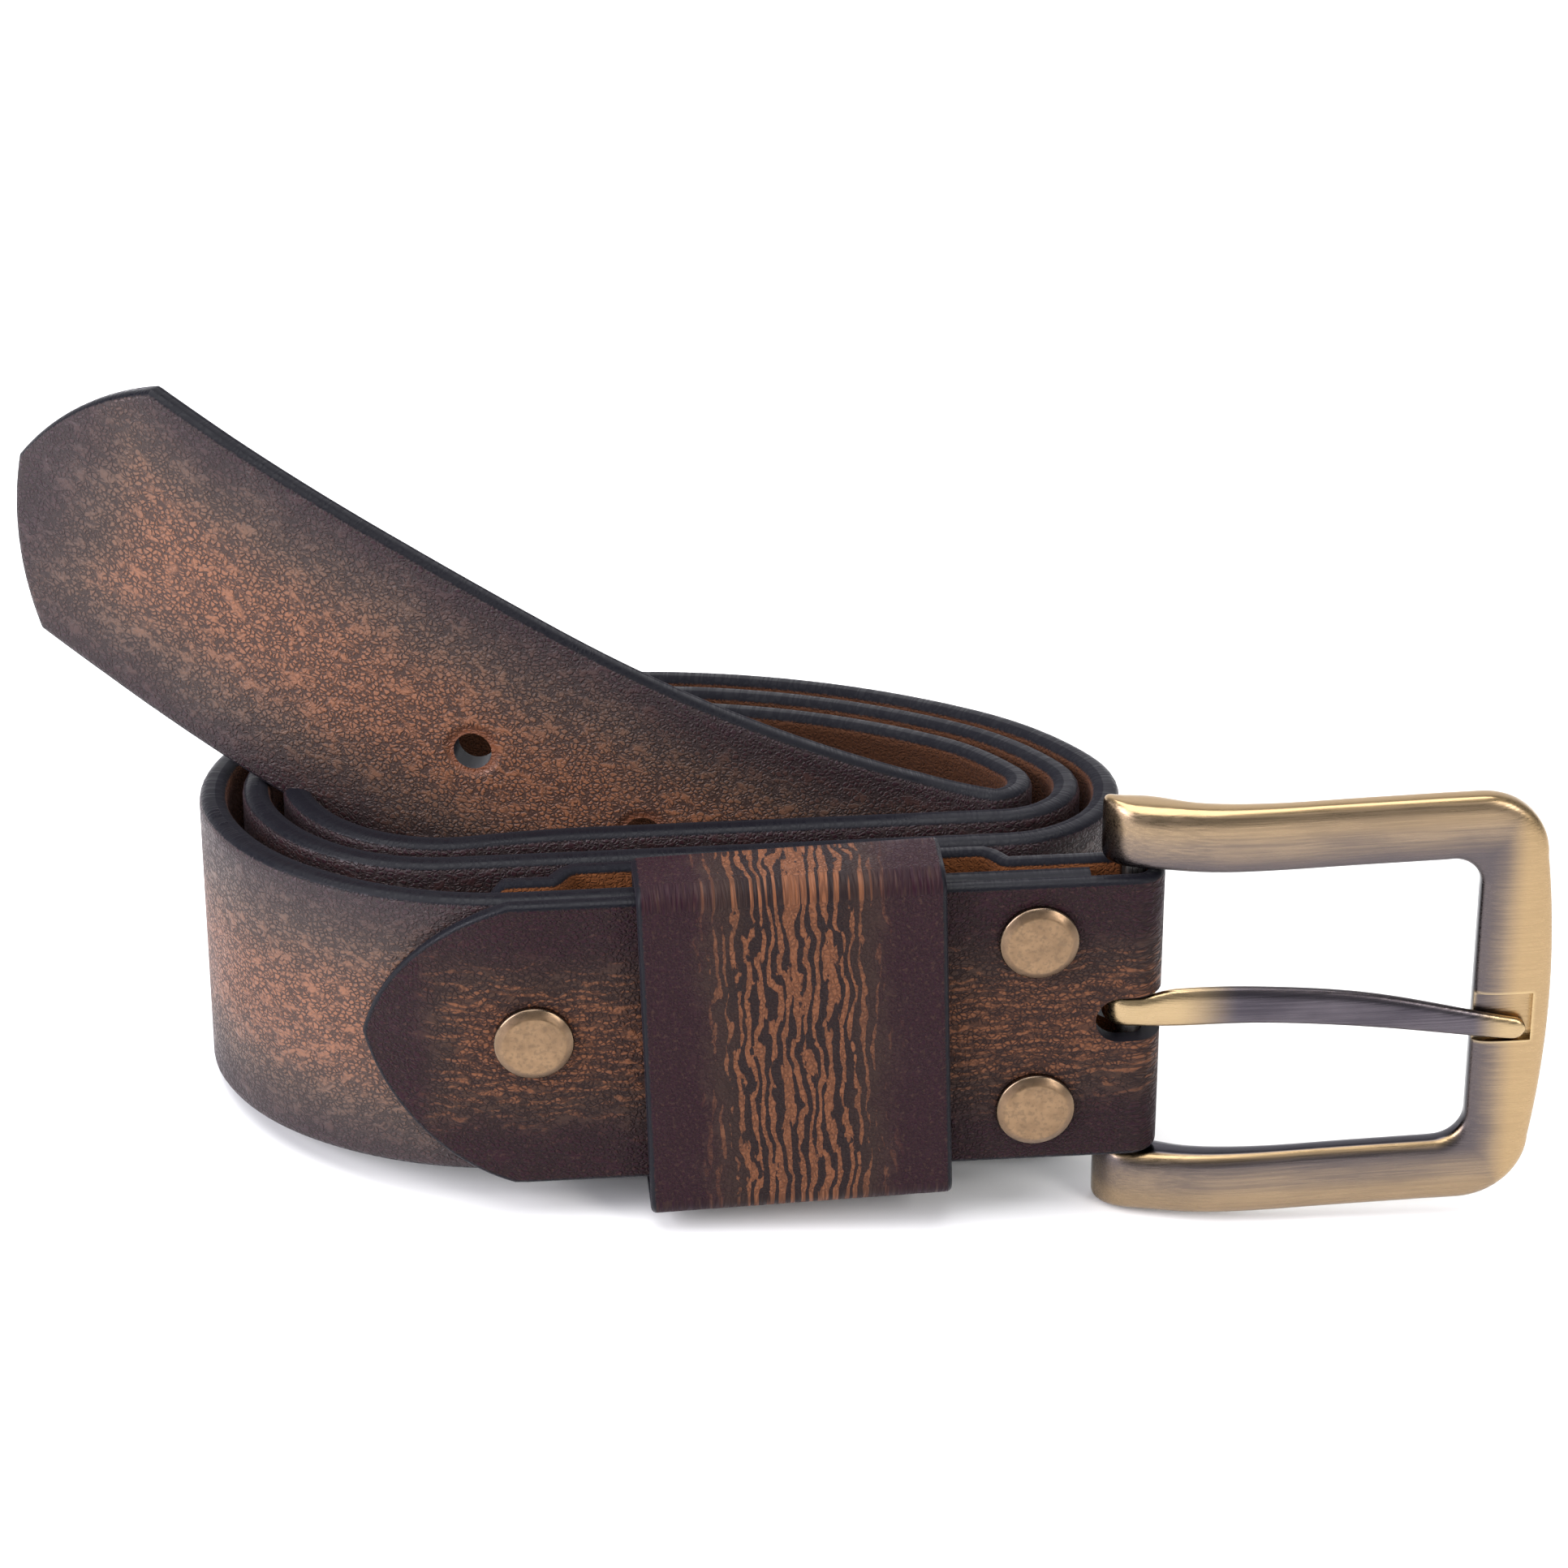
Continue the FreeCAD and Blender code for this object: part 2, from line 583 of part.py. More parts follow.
def prong():
    """A cast prong: an eye round the bar, and an arm whose tip lies in the frame's notch."""
    low = MIDDLE_Z + PRONG_RISE - PRONG_EYE_WIDTH / 2
    eye = Part.makeCylinder(PRONG_EYE_OUTER_RADIUS, PRONG_EYE_WIDTH, Vector(0, 0, low), UP)
    arm = plan_prism(0, 40, *prong_bow()).common(side_prism(-12, 4, *prong_outline()))
    bore = Part.makeCylinder(PRONG_EYE_RADIUS, PRONG_EYE_WIDTH, Vector(0, 0, low), UP)
    return fuse([eye, arm]).cut(bore)


# Assembly

def resting_place(shapes):
    """Lean the belt back and to the left, then centre it over the origin, on the floor."""
    lean_back = Rotation(Vector(1, 0, 0), LEAN_ABOUT_X)
    lean_left = Rotation(Vector(0, 1, 0), LEAN_ABOUT_Y)
    turn = Placement(Vector(), lean_back * lean_left)
    placed = Part.makeCompound(shapes)
    placed.transformShape(turn.toMatrix())
    box = placed.optimalBoundingBox()
    return Placement(Vector(-box.Center.x, -box.Center.y, -box.ZMin), turn.Rotation)


def build():
    parts = {"strap": strap(), "buckle_tab": buckle_tab()}
    parts["keeper_loop"] = lean(keeper_loop())
    parts["keeper_staples"] = lean(Part.makeCompound(keeper_staples()))
    for name, (x, z) in zip(("left", "upper", "lower"), rivet_places()):
        parts["rivet_cap_" + name] = rivet_cap(x, z)
        parts["rivet_stud_" + name] = rivet_stud(x, z)
        parts["strap"] = parts["strap"].cut(cylinder_y(STUD_RADIUS, x, z, -STRAP_HALF - 1, STRAP_HALF + 1))
    parts["buckle_frame"] = buckle_frame()
    parts["heel_bar"] = heel_bar()
    parts["prong"] = prong()
    return parts


def main():
    os.makedirs("parts", exist_ok=True)
    parts = build()
    place = resting_place(list(parts.values()))
    for name, shape in parts.items():
        placed = shape.copy()
        placed.Placement = place.multiply(shape.Placement)
        placed.exportStep("parts/" + name + ".step")
        print(name, shape.isValid(), len(shape.Solids), round(shape.Volume, 1))
    print("placement", place.Base, place.Rotation.toEuler())


main()
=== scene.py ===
"""Looks of a coiled leather belt with a prong buckle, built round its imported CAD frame.

Shapes are worked out in the belt's own frame, in millimetres: the buckle's bar is the line
x = 0, y = 0, the strap runs towards -X and coils behind, on the +Y side, and the strap's lower
edge is z = 0. The frame's joints say where that frame stands in the row frame.
"""
import json
import math

import bpy
from mathutils import Matrix, Vector

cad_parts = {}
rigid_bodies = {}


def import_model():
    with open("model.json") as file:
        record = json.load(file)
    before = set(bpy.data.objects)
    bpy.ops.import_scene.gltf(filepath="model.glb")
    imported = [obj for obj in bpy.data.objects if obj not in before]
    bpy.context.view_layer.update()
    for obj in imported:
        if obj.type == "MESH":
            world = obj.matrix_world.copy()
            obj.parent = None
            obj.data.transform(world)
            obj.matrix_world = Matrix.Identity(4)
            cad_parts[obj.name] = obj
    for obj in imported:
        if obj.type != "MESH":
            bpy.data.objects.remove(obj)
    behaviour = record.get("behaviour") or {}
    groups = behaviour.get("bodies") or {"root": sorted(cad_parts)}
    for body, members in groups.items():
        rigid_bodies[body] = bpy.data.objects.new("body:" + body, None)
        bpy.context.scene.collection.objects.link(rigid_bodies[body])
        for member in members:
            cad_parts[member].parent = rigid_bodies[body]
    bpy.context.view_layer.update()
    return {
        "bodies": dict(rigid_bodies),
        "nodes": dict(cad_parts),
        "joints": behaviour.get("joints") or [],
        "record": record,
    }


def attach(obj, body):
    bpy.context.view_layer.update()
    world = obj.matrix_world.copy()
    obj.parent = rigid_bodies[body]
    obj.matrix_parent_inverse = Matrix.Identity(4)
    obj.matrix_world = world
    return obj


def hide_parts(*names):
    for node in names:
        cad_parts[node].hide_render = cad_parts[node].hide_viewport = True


MM = 0.001

# Strap
STRAP_WIDTH = 40.0
STRAP_THICKNESS = 3.6
STRAP_END_X = -5.5          # the blunt end, inside the folded tab
RUN_END_X = -78.0           # where the straight run becomes the coil
EDGE_ROUNDING = 1.3         # of the painted edges

# Coil, as (length, clockwise turn in degrees) of tangent arcs in plan. One lap is a loose oval.
LAP = [
    (30.5, 40.5), (16.5, 30.0), (21.0, 57.0), (18.5, 33.5),     # front left, left bend
    (60.5, 37.0), (25.5, 15.5), (19.0, 26.5),                   # back, from left to right
    (17.5, 76.0), (11.5, 44.0),                                 # right bend
]
LAP_RETURN = (53.0, 0.0)    # straight stretch behind the tab, which closes a lap
LEAD_IN = 2                 # arcs of a lap that an inner lap replaces by its own way in
SECOND_LAP_WAY_IN = [(18.5, 0.0), (31.0, 70.5)]
SECOND_LAP_INSET = 5.3      # how far the second lap lies inside the first
THIRD_LAP_WAY_IN = [(15.5, -7.5), (28.0, 78.0)]
THIRD_LAP_INSET = 10.3
THIRD_LAP_ARCS = 3          # arcs of the third lap before the strap turns up into its free end

# Free end: it turns back inside the coil, then climbs over the coil's left side
FREE_END = [
    (22.0, 15.5), (12.7, 26.5), (11.0, 130.0), (14.0, -13.0),   # back, then inner right bend
    (31.0, 10.5), (39.0, 12.5), (23.0, 10.5), (22.3, 6.8),      # across the coil, to the left
]
CLIMB = [   # (distance in plan, degrees)
    (0.0, 0.0), (30.0, 0.0), (46.0, 6.0), (62.0, 20.6), (110.0, 28.8), (178.0, 23.6),
]
END_ROLL = 7.5              # degrees by which the free end's upper edge leans back at its tip
TIP_POINT_LENGTH = 13.0
TIP_BEND = 0.38             # share of the point's length at which
TIP_BLUNTNESS = 0.56        # its half width is this share of the strap's
TIP_SECTIONS = [0.0, 0.05, 0.15, 0.3, 0.5, 0.8, 1.1, 1.5, 2.0, 2.6, 3.3, 4.1, 5.0]  # mm from the tip
TIP_SECTIONS += [5.0 + 0.8 * index for index in range(1, 11)] + [13.3, 14.0]
HOLE_COUNT = 5
HOLE_PITCH = 24.5
HOLE_RADIUS = 2.5
FIRST_HOLE_FROM_TIP = 71.0
HOLE_RING = (2.7, 4.0)      # radii between which the leather rises from the hole's dented rim

# Tab: a separate leather piece folded round the bar, with the strap's end between its layers
TAB_WIDTH = 41.0
TAB_THICKNESS = 2.3
TAB_TIP_THICKNESS = 1.0     # the front layer is skived towards its point
TAB_POINT_X = -98.0
TAB_SHOULDER_X = -79.5
TAB_BEND = 0.3              # share of either point's length at which
TAB_BLUNTNESS = 0.56        # its half width is this share of the tab's
TAB_REAR_POINT_X = -88.0
TAB_REAR_SHOULDER_X = -80.0
TAB_TIP_SECTIONS = [0.0, 0.1, 0.3, 0.6, 1.0, 1.5, 2.1, 2.8, 3.6, 4.5, 5.5]  # mm from a point
BULGE_LEFT_X = -70.5        # between the rivets the rear layer stands off, round the keeper
BULGE_RIGHT_X = -19.0
BULGE_RAMP = 3.0
SLOT_END_X = -4.8
SLOT_WIDTH = 6.4
SLOT_REACH = 10.0           # of its cutter, to the right of the bar and to both sides
THIN_EDGE_ROUNDING = 0.7    # of the tab's and the keeper's edges

# Keeper: a wide closed leather loop round the strap and the tab's front layer
KEEPER_LENGTH = 39.0
KEEPER_CENTRE = Vector((-43.4, 0.0, 19.7))
KEEPER_THICKNESS = 2.3
KEEPER_CLEARANCE = 0.35     # behind the strap
KEEPER_FRONT_CLEARANCE = 0.9
KEEPER_INNER_HEIGHT = 43.6
KEEPER_CORNER = 2.6         # outer radius
KEEPER_LEAN = -1.7          # degrees about Y, as it hangs on the strap
KEEPER_SEAM = 0.2

# Rivets: the caps in front
RIVET_HEAD_RADIUS = 5.15
RIVET_FLAT_RADIUS = 4.0
RIVET_HEAD_HEIGHT = 1.5
RIVET_CHAMFER_SLOPE = 0.6   # how far its chamfer falls, as a share of its width
RIVET_SOFTENING = 0.22
# Their centres, as (x, z)
RIVETS = {"left": (-76.7, 21.0), "upper": (-12.4, 32.4), "lower": (-12.4, 7.6)}

# Buckle
FRAME_TOP = 30.0            # half of its height
WINDOW_TOP = 21.0
FRAME_LEFT_X = -3.8
WINDOW_RIGHT_X = 44.4
FRAME_SHOULDER_X = 53.0     # the post's outer side, at the top and bottom corners
FRAME_RIGHT_X = 54.5
FRAME_CORNER = 9.0
WINDOW_CORNER = 4.0
# Its front and back faces, as (x, y) that a smooth curve goes through
FRAME_FRONT = [(-3.8, 0.6), (-1.5, -2.6), (4, -4.3), (12, -5.3), (27, -4.8), (42, -4.3), (55, -4.0)]
FRAME_BACK = [(-3.8, 2.8), (1.5, 2.7), (8, -0.2), (17, -1.3), (30, -0.8), (42, -0.3), (55, 0.0)]
FRAME_SQUARENESS = 0.60     # 1 would make its section an ellipse, 0 a rectangle
FRAME_END_ROUNDING = 1.0
FRAME_END_SECTIONS = [0.0, 0.1, 0.3, 0.6, 1.0]      # mm from the arms' left ends
NOTCH_WIDTH = 7.0
NOTCH_END_X = 52.0
NOTCH_DEPTH = 1.2
NOTCH_REACH = 9.0           # of its cutter, forwards from the notch's floor
NOTCH_DROP = 2.3            # the notch lies this far below the buckle's middle

# Prong
PRONG_EYE = (1.8, 3.6)      # its inner and outer radius
# Its middle's height above the buckle's middle, and its width, at each x
PRONG_MIDDLE = [(-4.0, 0.5), (1.0, 0.5), (5.6, 1.05), (17.0, 1.1), (31.0, -0.3), (49.3, -3.9), (52.0, -4.1)]
PRONG_WIDTH = [(-4.0, 4.2), (1.0, 4.2), (5.6, 5.3), (17.0, 5.2), (31.0, 4.9), (49.3, 3.2), (52.0, 3.0)]
# Its front and back faces, as (x, y)
PRONG_FRONT = [(0, -3.6), (6, -4.2), (18, -4.7), (34, -4.8), (52.3, -4.5)]
PRONG_BACK = [(0, -1.9), (6, -2.2), (18, -2.6), (34, -2.9), (46, -3.1), (52.3, -3.1)]
PRONG_TIP_X = 51.3
PRONG_TIP_ROUNDING = 1.6
PRONG_TIP_SECTIONS = [0.0, 0.05, 0.15, 0.35, 0.6, 0.9, 1.3]
PRONG_SQUARENESS = 0.80
PRONG_LOOP = 262            # degrees that the eye runs round the bar

MIDDLE_Z = STRAP_WIDTH / 2
STRAP_HALF = STRAP_THICKNESS / 2
TAB_FACE = STRAP_HALF + TAB_THICKNESS
UP = Vector((0, 0, 1))
FORWARDS = Vector((0, -1, 0))       # towards the belt's front

STEP = 2.0                  # between sections along a strip
RIM_POINTS = [              # of a strip's section, inwards from its edge
    0.0, 0.08, 0.25, 0.5, 0.85, 1.3, 2.0, 3.5, 6.0, 9.0, 12.5, 16.0,
]

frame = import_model()
joints = {joint["name"]: joint for joint in frame["joints"]}
BAR = Vector(joints["buckle_swing"]["pos_m"])
AXIS_X = Vector(joints["keeper_slide"]["axis"])
AXIS_Z = Vector(joints["buckle_swing"]["axis"])
AXIS_Y = AXIS_Z.cross(AXIS_X)


def turned(direction):
    """A direction in the belt's frame, as one in the row frame."""
    return AXIS_X * direction.x + AXIS_Y * direction.y + AXIS_Z * direction.z


def placed(point):
    """A point in the belt's frame, as one in the row frame."""
    return BAR + turned(point - UP * MIDDLE_Z) * MM


# Material graphs

class Graph:
    """A material's nodes, made by calls that give back the socket to use next."""

    def __init__(self, name):
        self.material = bpy.data.materials.new(name)
        self.material.use_nodes = True
        self.tree = self.material.node_tree
        self.shader = self.tree.nodes["Principled BSDF"]

    def node(self, kind, inputs, output=0, **settings):
        made = self.tree.nodes.new("ShaderNode" + kind)
        for key, value in settings.items():
            setattr(made, key, value)
        for key, value in inputs.items():
            self.feed(made.inputs[key], value)
        return made.outputs[output]

    def feed(self, socket, value):
        if isinstance(value, bpy.types.NodeSocket):
            self.tree.links.new(value, socket)
        else:
            socket.default_value = value

    def maths(self, operation, first, second=0.0):
        return self.node("Math", {0: first, 1: second}, operation=operation)

    def smooth(self, value, low, high, to_low=0.0, to_high=1.0):
        """A smooth step from to_low, at low, to to_high, at high."""
        inputs = {"Value": value, "From Min": low, "From Max": high, "To Min": to_low, "To Max": to_high}
        return self.node("MapRange", inputs, interpolation_type="SMOOTHSTEP")

    def mix(self, share, first, second):
        inputs = {0: share, 6: first, 7: second}
        return self.node("Mix", inputs, output=2, data_type="RGBA")

    def parts(self, vector):
        """Sockets for a vector's x, y and z."""
        return self.node("SeparateXYZ", {0: vector}).node.outputs

    def dot(self, vector, axis):
        return self.node("VectorMath", {0: vector, 1: axis}, output=1, operation="DOT_PRODUCT")

    def stretched(self, vector, x, y, z=1.0):
        return self.node("VectorMath", {0: vector, 1: (x, y, z)}, operation="MULTIPLY")

    def noise(self, vector, scale, detail=3.0, distortion=0.0, output=0):
        inputs = {"Vector": vector, "Scale": scale, "Detail": detail, "Distortion": distortion}
        return self.node("TexNoise", inputs, output=output)

    def finish(self, colour, roughness, height, depth, **inputs):
        """Connect colour, roughness and a bump whose height of 1 is depth millimetres."""
        normal = self.node("Bump", {"Height": height, "Distance": depth * MM, "Strength": 1.0})
        self.feed(self.shader.inputs["Base Color"], colour)
        self.feed(self.shader.inputs["Roughness"], roughness)
        self.feed(self.shader.inputs["Normal"], normal)
        for key, value in inputs.items():
            self.feed(self.shader.inputs[key.replace("_", " ")], value)
        return self.material


def rgb(red, green, blue):
    return red, green, blue, 1.0


def scaled(tone, share):
    return rgb(*(part * share for part in tone[:3]))


# Leather
PAINT = rgb(0.006, 0.006, 0.009)            # on cut edges
FLESH = rgb(0.10, 0.040, 0.020)             # the strap's and the keeper's inner side
TAB_FLESH = rgb(0.24, 0.085, 0.030)
AUBERGINE = rgb(0.017, 0.0042, 0.0095)      # burnished margins
TAN = rgb(0.066, 0.037, 0.025)              # between the margins and the middle
ORANGE = rgb(0.145, 0.058, 0.029)           # the middle
VALLEY = rgb(0.012, 0.007, 0.008)           # dye caught in the grain
STRIPE_DEEP = rgb(0.13, 0.047, 0.021)       # bare leather between dark streaks
STRIPE_PALE = rgb(0.20, 0.078, 0.038)
HOLE_RIM = rgb(0.15, 0.050, 0.022)

# Metal
WALL_DARK_REFLECTION = rgb(0.045, 0.042, 0.050)       # painted dark reflection on walls that turn away from the front
BRASS_AND_HIGHLIGHT = rgb(0.40, 0.275, 0.14)               # brass tone, also a painted highlight on surfaces that face up
PRONG_GOLD = rgb(0.50, 0.36, 0.19)
# edges worn bright, with a painted highlight on them too
WORN_AND_HIGHLIT_EDGE = rgb(0.80, 0.60, 0.32)
SPECKLE = rgb(0.16, 0.11, 0.07)


def hole_distance(graph, along, across):
    """Distance in millimetres from the nearest of the strap's holes."""
    from_first = graph.maths("SUBTRACT", along, FIRST_HOLE_FROM_TIP)
    number = graph.maths("ROUND", graph.maths("DIVIDE", from_first, HOLE_PITCH))
    number = graph.maths("MINIMUM", graph.maths("MAXIMUM", number, 0.0), HOLE_COUNT - 1.0)
    beside = graph.maths("SUBTRACT", from_first, graph.maths("MULTIPLY", number, HOLE_PITCH))
    square = graph.maths("ADD", graph.maths("POWER", beside, 2.0), graph.maths("POWER", across, 2.0))
    return graph.maths("SQRT", square)


def leather(name, half_width, core, streak=0.0, streak_size=(9.0, 1.3), flesh=FLESH, pebble=1.0,
            tip_fade=0.0, holes=False, gloss=0.1, painted_light_gain=1.0):
    """Burnished leather: an orange-brown middle that darkens to aubergine at painted edges.

    core is the share of the half width that stays light, and streak how strong the dark
    streaks along the leather are in it, with a length and a pitch in streak_size. flesh colours
    the inner side, pebble is the strength of the grain, and tip_fade the distance from the tip
    within which the leather darkens. gloss is the grain's specular level, and the last argument
    a factor on its lighter colours: painted light, for a piece that stands in brighter light.
    """
    graph = Graph(name)
    rim, side = graph.parts(graph.node("UVMap", {}, uv_map="Skin"))[:2]
    place = graph.stretched(graph.node("UVMap", {}, uv_map="Flat"), 1 / MM, 1 / MM)
    along, across = graph.parts(place)[:2]

    patches = graph.noise(place, 0.09, 3.0)
    fine = graph.noise(place, 3.2, 4.0)
    shift = graph.noise(place, 0.8, 2.0, output=1)
    warped = graph.node("VectorMath", {0: place, 1: graph.stretched(shift, 0.9, 0.9)}, operation="ADD")
    cells = graph.node("TexVoronoi", {"Vector": graph.stretched(warped, 0.75, 1.0), "Scale": 1.8},
                       feature="DISTANCE_TO_EDGE")
    creases = graph.noise(graph.stretched(warped, 0.6, 1.0), 0.9, 5.0, 0.4)
    valley = graph.maths("MULTIPLY", graph.smooth(cells, 0.24, 0.05), graph.smooth(creases, 0.26, 0.52))

    away = graph.maths("DIVIDE", graph.maths("ABSOLUTE", across), half_width)
    if tip_fade:
        away = graph.maths("MAXIMUM", away, graph.smooth(along, tip_fade, 0.0))
    wander = graph.maths("MULTIPLY", graph.maths("SUBTRACT", patches, 0.5), 0.30)
    grainy = graph.maths("MULTIPLY", graph.maths("SUBTRACT", creases, 0.5), 0.22)
    away = graph.maths("ADD", away, graph.maths("ADD", wander, grainy))
    # Painted light: the lighter colours are raised by the factor for a piece in brighter light.
    colour = graph.mix(graph.smooth(away, core * 0.15, core * 1.15),
                       scaled(ORANGE, painted_light_gain), scaled(TAN, painted_light_gain))
    colour = graph.mix(graph.smooth(away, core * 0.75, core * 1.65), colour, AUBERGINE)
    if streak:
        length, pitch = streak_size
        sway = graph.noise(graph.stretched(place, 1 / length, 0.22), 1.0, 2.0)
        breaks = graph.noise(graph.stretched(warped, 1.6 / length, 1.0), 1.0, 3.0)
        phase = graph.maths("MULTIPLY", across, 2 * math.pi / pitch)
        phase = graph.maths("ADD", phase, graph.maths("MULTIPLY", sway, 22.0))
        bands = graph.maths("MULTIPLY", graph.maths("SINE", phase), 0.16)
        bands = graph.maths("ADD", bands, breaks)
        bands = graph.maths("ADD", bands, graph.smooth(away, core * 0.2, core * 1.5, -0.02, 0.16))
        dark = graph.smooth(bands, 0.46, 0.52)
        lit = graph.smooth(away, core * 1.7, core * 0.7)
        stripes = graph.mix(graph.smooth(fine, 0.3, 0.7), STRIPE_DEEP, STRIPE_PALE)
        striped = graph.mix(dark, stripes, VALLEY)
        specks = graph.smooth(graph.noise(place, 1.4, 2.0), 0.58, 0.66, 0.0, 0.35)
        colour = graph.mix(specks, colour, TAN)
        colour = graph.mix(graph.maths("MULTIPLY", lit, streak), colour, striped)
    colour = graph.mix(graph.maths("MULTIPLY", valley, 0.85 * pebble), colour, VALLEY)
    colour = graph.mix(graph.smooth(fine, 0.35, 0.75, 0.0, 0.22), colour, TAN)
    height = graph.maths("SUBTRACT", graph.maths("MULTIPLY", fine, 0.3),
                         graph.maths("MULTIPLY", valley, pebble))
    if holes:
        inside, outside = HOLE_RING
        ring = graph.smooth(hole_distance(graph, along, across), outside, inside)
        colour = graph.mix(graph.maths("MULTIPLY", ring, 0.85), colour, HOLE_RIM)
        height = graph.maths("SUBTRACT", height, graph.maths("MULTIPLY", ring, 4.0))

    suede = graph.noise(place, 2.2, 6.0)
    behind = graph.smooth(side, -0.35, -0.75)
    colour = graph.mix(behind, colour, graph.mix(suede, flesh, scaled(flesh, 0.4)))
    ragged = graph.maths("ADD", rim, graph.maths("MULTIPLY", graph.maths("SUBTRACT", fine, 0.5), 0.5))
    painted = graph.smooth(ragged, 0.75, 0.45)
    colour = graph.mix(painted, colour, PAINT)
    height = graph.maths("MULTIPLY", height, graph.smooth(painted, 0.0, 1.0, 1.0, 0.12))

    roughness = graph.smooth(valley, 0.0, 1.0, 0.42, 0.6)
    roughness = graph.maths("ADD", roughness, graph.smooth(patches, 0.3, 0.7, -0.04, 0.06))
    roughness = graph.maths("ADD", roughness, graph.maths("MULTIPLY", behind, 0.4))
    roughness = graph.maths("SUBTRACT", roughness, graph.maths("MULTIPLY", painted, 0.12))
    shine = graph.smooth(graph.maths("MAXIMUM", painted, behind), 0.0, 1.0, gloss, 0.12)
    return graph.finish(colour, roughness, height, 0.13, Specular_IOR_Level=shine,
                        Sheen_Weight=0.03, Sheen_Roughness=0.4, Sheen_Tint=rgb(0.80, 0.66, 0.85))


def belt_parts(graph):
    """Sockets for x, y and z in the belt's frame, in millimetres, at rest."""
    place = graph.node("TexCoord", {}, output=3)
    relative = graph.node("VectorMath", {0: place, 1: BAR}, operation="SUBTRACT")
    return [graph.dot(relative, axis / MM) for axis in (AXIS_X, AXIS_Y, AXIS_Z)]


def facing(graph, axis):
    """How far the surface faces along an axis, from -1 to 1."""
    return graph.dot(graph.node("TexCoord", {}, output=1), axis)


def antique_metal(name, pale, dark, brush, roughness=0.3, shade=0.6, speckle=0.0, wear_and_highlight_share=0.35,
                  window=None, gilded=None, facing_range=(0.15, 0.65)):
    """Aged, brushed metal: worn bright at its edges, where a highlight is painted too, with shade
    painted round an opening and a dark reflection painted on walls that turn away from the front.

    brush is the length along X and the pitch of the brush lines. window is the x, z and half
    height of an opening's right edge, round which shade is painted and beyond which the metal turns
    golden, with a painted highlight on surfaces that face up, and gilded the x range within which
    it isn't bright. Surfaces that face the front less than facing_range count as walls, and take
    the painted dark reflection.
    """
    graph = Graph(name)
    x, y, z = belt_parts(graph)
    place = graph.node("CombineXYZ", {0: x, 1: y, 2: z})
    lines = graph.noise(graph.stretched(place, 1 / brush[0], 2.6, 1 / brush[1]), 1.0, 5.0)
    patches = graph.noise(graph.stretched(place, 0.5, 1.0), 0.16, 3.0)
    # Worn edges with a painted highlight: the bevel mask brightens every sharp edge.
    bevel = graph.node("Bevel", {"Radius": 0.9 * MM}, samples=6)
    worn_and_highlit = graph.smooth(graph.dot(bevel, graph.node("NewGeometry", {}, output=1)), 0.995, 0.90)
    # How far a surface faces the front: walls that face it less get a painted dark reflection.
    front = graph.smooth(facing(graph, -AXIS_Y), *facing_range)
    tone = graph.smooth(graph.maths("ADD", patches, graph.maths("MULTIPLY", lines, 0.4)), 0.50, 0.95)
    colour = graph.mix(graph.maths("MULTIPLY", tone, shade), pale, dark)
    colour = graph.mix(graph.smooth(lines, 0.35, 0.7, 0.0, 0.25), colour, dark)
    if window:
        window_x, middle_z, half_height = window
        above = graph.maths("SUBTRACT", z, middle_z)
        beyond = graph.maths("SUBTRACT", graph.maths("ABSOLUTE", above), half_height)
        beyond = graph.maths("MAXIMUM", beyond, graph.maths("SUBTRACT", x, window_x))
        # Painted shade: the metal darkens towards the window's inner edge.
        colour = graph.mix(graph.smooth(beyond, 4.2, 0.6, 0.0, 0.85), colour, dark)
        inner = graph.smooth(beyond, 1.6, 0.7)
        # Painted highlight: surfaces that face up turn golden, as do the post and the metal far from the
        # window.
        golden_and_highlit = graph.maths("MAXIMUM", graph.smooth(facing(graph, AXIS_Z), 0.25, 0.80),
                             graph.smooth(beyond, 4.0, 6.5, 0.0, 0.45))
        golden_and_highlit = graph.maths("MAXIMUM", golden_and_highlit, graph.smooth(x, window_x + 2.5, window_x + 6.0))
        colour = graph.mix(graph.maths("MULTIPLY", golden_and_highlit, 0.8), colour, BRASS_AND_HIGHLIGHT)
        # Painted dark reflection on the window's walls that turn away from the front.
        colour = graph.mix(graph.maths("MULTIPLY", inner, graph.smooth(front, 1.0, 0.0)), colour, WALL_DARK_REFLECTION)
    else:
        # Painted dark reflection on every wall that turns away from the front.
        colour = graph.mix(graph.smooth(front, 1.0, 0.0, 0.0, 0.6), colour, WALL_DARK_REFLECTION)
    if gilded:
        low, high = gilded
        ends = graph.maths("MAXIMUM", graph.smooth(x, low, low - 9.0), graph.smooth(x, high, high + 5.0))
        colour = graph.mix(graph.maths("MULTIPLY", ends, 0.8), colour, PRONG_GOLD)
    if speckle:
        specks = graph.smooth(graph.noise(place, 2.4, 4.0), 0.50, 0.62)
        colour = graph.mix(graph.maths("MULTIPLY", specks, speckle), colour, SPECKLE)
    # Wear and painted highlight on the edges.
    colour = graph.mix(graph.maths("MULTIPLY", worn_and_highlit, wear_and_highlight_share), colour, WORN_AND_HIGHLIT_EDGE)
    rough = graph.smooth(lines, 0.3, 0.7, roughness - 0.07, roughness + 0.08)
    rough = graph.maths("MULTIPLY", rough, graph.smooth(front, 0.0, 1.0, 0.6, 1.0))
    height = graph.maths("MULTIPLY", lines, front)
    return graph.finish(colour, rough, height, 0.02, Metallic=1.0)


# Meshes

def new_piece(name, points, faces, material):
    mesh = bpy.data.meshes.new(name)
    mesh.from_pydata([placed(point) for point in points], [], faces)
    mesh.materials.append(material)
    piece = bpy.data.objects.new(name, mesh)
    bpy.context.scene.collection.objects.link(piece)
    return piece


